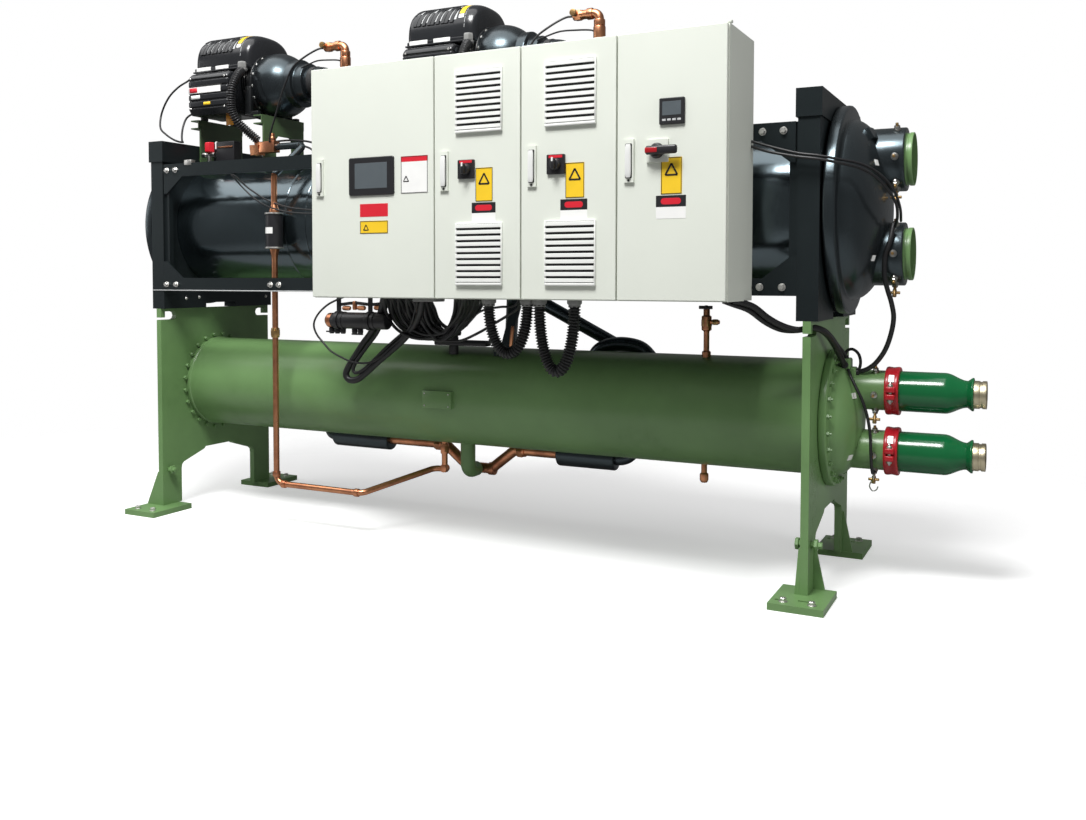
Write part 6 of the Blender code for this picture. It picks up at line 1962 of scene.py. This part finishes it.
cableRuns = {
    "cable_chilled_1": (11, [3281.5, -30, 1835, 3356, -35, 1810, 3460, -35, 1779, 3547, -32, 1764, 3618, -14, 1748,
        3680, 30, 1735, 3728, 70, 1712, 3766, 110, 1679, 3795, 150, 1637, 3808, 190, 1598, 3812, 240, 1560,
        3805, 315, 1522]),
    "cable_chilled_2": (12, [3281.5, -30, 1815, 3356, -50, 1788, 3460, -50, 1764, 3547, -45, 1750, 3622, -22, 1733,
        3688, 30, 1715, 3740, 80, 1682, 3778, 130, 1635, 3802, 180, 1585, 3798, 260, 1535, 3782, 318, 1500]),
    "cable_head": (20, [3776, 322, 1512, 3766, 300, 1440, 3749, 294, 1380, 3747, 300, 1300, 3757, 315, 1245,
        3772, 325, 1190, 3779, 345, 1130, 3768, 360, 1062, 3745, 370, 994, 3710, 380, 940, 3675, 385, 910,
        3636, 392, 895]),
    "cable_condenser_1": (26, [3240, -130, 1200.5, 3268, -115, 1196, 3310, -75, 1176, 3352, -20, 1132, 3400, 20, 1100,
        3455, 46, 1084, 3505, 62, 1093.5, 3535, 100, 1083, 3552, 170, 1055, 3562, 250, 1015, 3572, 310, 972,
        3582, 352, 930]),
    "cable_condenser_2": (22, [3200, -130, 1200.5, 3236, -115, 1186, 3290, -75, 1162, 3340, -5, 1112, 3390, 45, 1083,
        3450, 78, 1080, 3505, 90, 1094, 3540, 135, 1080, 3557, 200, 1050, 3567, 290, 1008, 3575, 360, 978,
        3580, 395, 955]),
    "cable_block_loop": (13, [3580, 395, 962, 3590, 392, 984, 3612, 390, 990, 3634, 388, 974, 3644, 388, 946,
        3642, 390, 916, 3629, 394, 895]),
    "cable_lower_probe": (13, [3600, 362, 905, 3614, 335, 880, 3640, 315, 835, 3666, 305, 785, 3686, 308, 721,
        3697, 318, 650, 3700, 324, 580, 3702, 332, 520, 3704, 356, 478, 3704.2, 388, 478]),
    "cable_riser": (10, [962, 250, 2492, 926, 232, 2486, 861, 205, 2448, 796, 190, 2400, 750, 190, 2330,
        713, 190, 2254, 672, 195, 2160, 628, 205, 2071, 605, 222, 2020]),
    "cable_neck": (8, [735, 335, 2425, 796, 320, 2436, 870, 300, 2444, 960, 270, 2434, 1050, 250, 2420,
        1082, 250, 2400]),
    "cable_drive_upper": (11, [100, 245, 2400, 30, 262, 2428, -44, 280, 2410, -110, 280, 2385, -179, 280, 2340,
        -228, 280, 2280, -245, 270, 2215, -215, 240, 2150, -147, 215, 2108, -60, 180, 2072, 10, 150, 2052,
        60, 130, 2042.5]),
    "cable_drive_lower": (11, [105, 260, 2210, 40, 255, 2222, -8, 240, 2198, -18, 220, 2150, 0, 190, 2098,
        30, 160, 2060, 62, 135, 2042.5]),
    "cable_riser_2": (10, [2382, 250, 2492, 2346, 232, 2486, 2281, 205, 2448, 2216, 190, 2400, 2170, 190, 2330,
        2133, 190, 2254, 2092, 195, 2160, 2048, 205, 2050, 2020, 222, 1940, 2012, 230, 1848]),
    "cable_neck_2": (8, [2155, 335, 2425, 2216, 320, 2436, 2290, 300, 2444, 2380, 270, 2434, 2470, 250, 2420,
        2502, 250, 2400]),
    "cable_drive_2": (11, [1525, 260, 2210, 1460, 255, 2222, 1412, 240, 2198, 1402, 220, 2150, 1418, 200, 2050,
        1440, 198, 1940, 1450, 210, 1832]),
    "cable_shell_1": (9, [488, 60, 1838, 520, 52, 1825, 592, 48, 1772, 660, 46, 1732, 740, 44, 1692, 858, 38, 1657,
        960, 30, 1640, 1100, 25, 1632, 1351.5, 20, 1640]),
    "cable_shell_2": (8, [478, 60, 1838, 510, 52, 1815, 575, 48, 1760, 640, 46, 1712, 715, 40, 1672, 840, -8, 1640,
        950, -10, 1620, 1100, -5, 1612, 1351.5, 0, 1620]),
    "cable_bundle_1": (16, [1564, -100, 1200.3, 1508, -2, 1125.7, 1494, 70, 1064.5, 1552, 70, 1021.8, 1627, 70, 999.4,
        1712, 70, 1001.8, 1796, 70, 1042.3, 1926, -28, 1114.7, 2034, -160, 1200.3]),
    "cable_bundle_2": (16, [1598, -92, 1200.3, 1536, 8, 1125.9, 1521, 82, 1069.5, 1579, 82, 1026.8, 1654, 82, 1004.4,
        1739, 82, 1011.5, 1817, 82, 1056.6, 1930, -18, 1128.3, 2045, -152, 1200.3]),
    "cable_bundle_3": (16, [1632, -84, 1200.3, 1584, 4, 1126.7, 1575, 70, 1071.1, 1627, 70, 1033.4, 1701, 70, 1015.9,
        1780, 70, 1027.5, 1852, 70, 1076.8, 1959, -21, 1138.1, 2061, -144, 1200.3]),
    "cable_bundle_4": (19, [1671, -76, 1200.3, 1629, 15, 1122.3, 1625, 82, 1066.8, 1676, 82, 1024.3, 1744, 82, 997.2,
        1822, 82, 1023.3, 1889, 82, 1081.9, 1990, -11, 1142.9, 2082, -136, 1200.3]),
    "cable_bundle_5": (19, [1705, -68, 1200.3, 1682, 11, 1123.3, 1678, 70, 1063.6, 1724, 70, 1016.5, 1768, 70, 989,
        1824, 70, 1019.1, 1868, 70, 1077.2, 1950, -14, 1133.1, 2036, -128, 1200.3]),
    "cable_bundle_6": (19, [1733, -60, 1200.3, 1692, 22, 1123.2, 1682, 82, 1063.2, 1722, 82, 1020.7, 1767, 82, 1002.6,
        1811, 82, 1032.5, 1845, 82, 1085.7, 1917, -4, 1136.9, 1995, -120, 1200.3]),
    "cable_bundle_7": (19, [1756, -52, 1200.3, 1717, 18, 1123.7, 1707, 70, 1069, 1746, 70, 1036.3, 1785, 70, 1027.7,
        1819, 70, 1057.1, 1841, 70, 1100.4, 1898, -8, 1141.4, 1964, -112, 1200.3]),
    "cable_bundle_8": (16, [1548, -44, 1200.3, 1501, 51, 1114.2, 1506, 122, 1047.8, 1576, 122, 1010, 1657, 122, 992.6,
        1737, 122, 1004.6, 1804, 122, 1059.4, 1910, 26, 1131.3, 2007, -104, 1200.3]),
    "cable_bundle_9": (16, [1623, -36, 1200.3, 1596, 48, 1111.1, 1596, 110, 1050.3, 1653, 110, 1012.7,
        1716, 110, 1004.6, 1778, 110, 1040, 1828, 110, 1093.9, 1913, 22, 1140.8, 1992, -96, 1200.3]),
    "cable_bundle_10": (19, [1657, -28, 1200.3, 1624, 58, 1116.1, 1623, 122, 1050.4, 1674, 122, 1007.7,
        1725, 122, 989.7, 1776, 122, 1025, 1810, 122, 1078.7, 1885, 33, 1130.7, 1966, -88, 1200.3]),
    "hose_loop": (34, [1516, -30, 1200.3, 1431, 50, 1093.4, 1347, 100, 1015.1, 1291, 110, 957.8, 1243, 100, 886.1,
        1212, 90, 835.1, 1203, 85, 799.6, 1228, 85, 775.4, 1274, 90, 782.1, 1328, 100, 824, 1397, 105, 881.5,
        1466, 110, 933.3, 1540, 105, 990.3, 1621, 70, 1057.5, 1700, 0, 1124, 1755, -60, 1200.3]),
    "cable_loop_inner": (18, [1539, -30, 1200.3, 1454, 50, 1089, 1391, 90, 1016.7, 1335, 100, 959.7, 1289, 95, 903.3,
        1259, 85, 857.6, 1251, 80, 827.3, 1269, 80, 813, 1308, 85, 829.4, 1356, 95, 870.6, 1419, 100, 927.4,
        1481, 105, 978.7, 1550, 100, 1030.1, 1610, 70, 1086.4, 1678, 0, 1137.9, 1747, -90, 1200.3]),
    "cable_loop_left": (10, [1300, 10, 1218.5, 1262, 8, 1200, 1215, 8, 1184, 1140, 20, 1155, 1066, 40, 1108,
        1022, 60, 1056, 1030, 70, 1005, 1078, 72, 955, 1116, 74, 920, 1178, 76, 890.9, 1252, 76, 868.4,
        1337, 76, 866.7, 1409, 80, 893.6, 1474, 90, 949.7, 1539, 90, 1000.8, 1629, 40, 1078.2, 1716, -50, 1200.3]),
    "cable_bridge_1": (11, [1918, 60, 1064.5, 1961, 60, 1112.3, 2025, 40, 1142, 2120, 20, 1157.7, 2213, -20, 1164.5,
        2273, -80, 1200.3]),
    "cable_bridge_2": (13, [1768, 70, 989, 1835, 70, 990.9, 1895, 70, 997.4, 1993, 60, 1038.1, 2088, 50, 1087.2,
        2172, 20, 1126.5, 2238, -30, 1156.1, 2289, -100, 1200.3]),
}
layers = (("back", 0.014, 0.016, 0.007), ("inner", 0.030, 0.034, 0.020))  # more turns of the bundle: moves in x, y, z
for name, (diameter, run) in cableRuns.items():
    diameter, points = diameter / 1000, mm(*run)
    cable(name, points, diameter)
    if name.startswith("cable_bundle"):
        for layer, x, y, z in layers:
            bent = points.copy()
            bent[1:-1] += (x, y, z)
            bent[[0, -1]] += (x, -0.008, 0)
            turns = swept(name, curvedPath(bent, 6 * len(points)), diameter / 2, 10, 60)
            piece(f"{name}_{layer}", turns, cableRubber, "frame")
hook = curvedPath(
    mm(
        3704.2, 385, 478, 3704.5, 386, 452, 3694, 388, 434, 3688, 388, 414, 3700, 388, 396, 3716, 388, 402, 3722, 388,
        416,
    ),
    30,
)
piece("probe_hook", swept("probeHook", hook, 0.0028, 10, 60), chrome)
print("cables made")


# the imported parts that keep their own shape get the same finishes

keeps = (
    (greenPaint, ("end_plate_left", "end_plate_right", *feet)),
    (shadedSupportGreen, ("support_1", "support_2")),
    (railBlack, ("tube_sheet_left", "tube_sheet_right", "rail_upper", "rail_lower")),
    (cabinetPaint, ("cabinet_body", "door_1", "door_2", "door_3", "door_4")),
    (zinc, ("mounting_plate",)),
)
for paint, kept in keeps:
    for node in kept:
        nodes[node].material_slots[0].material = paint.material
print("finishes put on the packed parts")


# floor

floorSize = {
    "half": 30.0, "fadeStart": 0.45, "fadeEnd": 0.9, "pale": 0.80, "dark": 0.34, "glow": 0.42, "level": -0.0004
}
floorPaint = Paint("paleFloor", (0.6, 0.6, 0.6), 0.75)
cameraShare = floorPaint.node("ShaderNodeLightPath", {}, {}, "Is Camera Ray")
speck = floorPaint.noise(3.0, 2.0)
pale = floorPaint.mix(speck, (floorSize["pale"],) * 3, (floorSize["pale"] * 1.02,) * 3)
floorPaint.set("Base Color", floorPaint.mix(cameraShare, (floorSize["dark"],) * 3, pale))
x, y, z = floorPaint.axes()
away = floorPaint.maths("SQRT", ((x - 1.9) / 2.9) ** 2 + ((y - 0.3) / 2.1) ** 2) * 0.5
floorPaint.set("Emission Color", floorPaint.mix(cameraShare, (0, 0, 0), (floorSize["glow"],) * 3))
floorPaint.set("Emission Strength", 1.0)
floorPaint.set("Alpha", floorPaint.ramp(away, (floorSize["fadeStart"], 1.0), (floorSize["fadeEnd"], 0.0)))
h, level = floorSize["half"], floorSize["level"]
floorMesh = facesMesh("floor", [(-h, -h, level), (h, -h, level), (h, h, level), (-h, h, level)], [[0, 1, 2, 3]])
floorPiece = bpy.data.objects.new("floor", floorMesh)
bpy.context.scene.collection.objects.link(floorPiece)
floorMesh.materials.append(floorPaint.material)
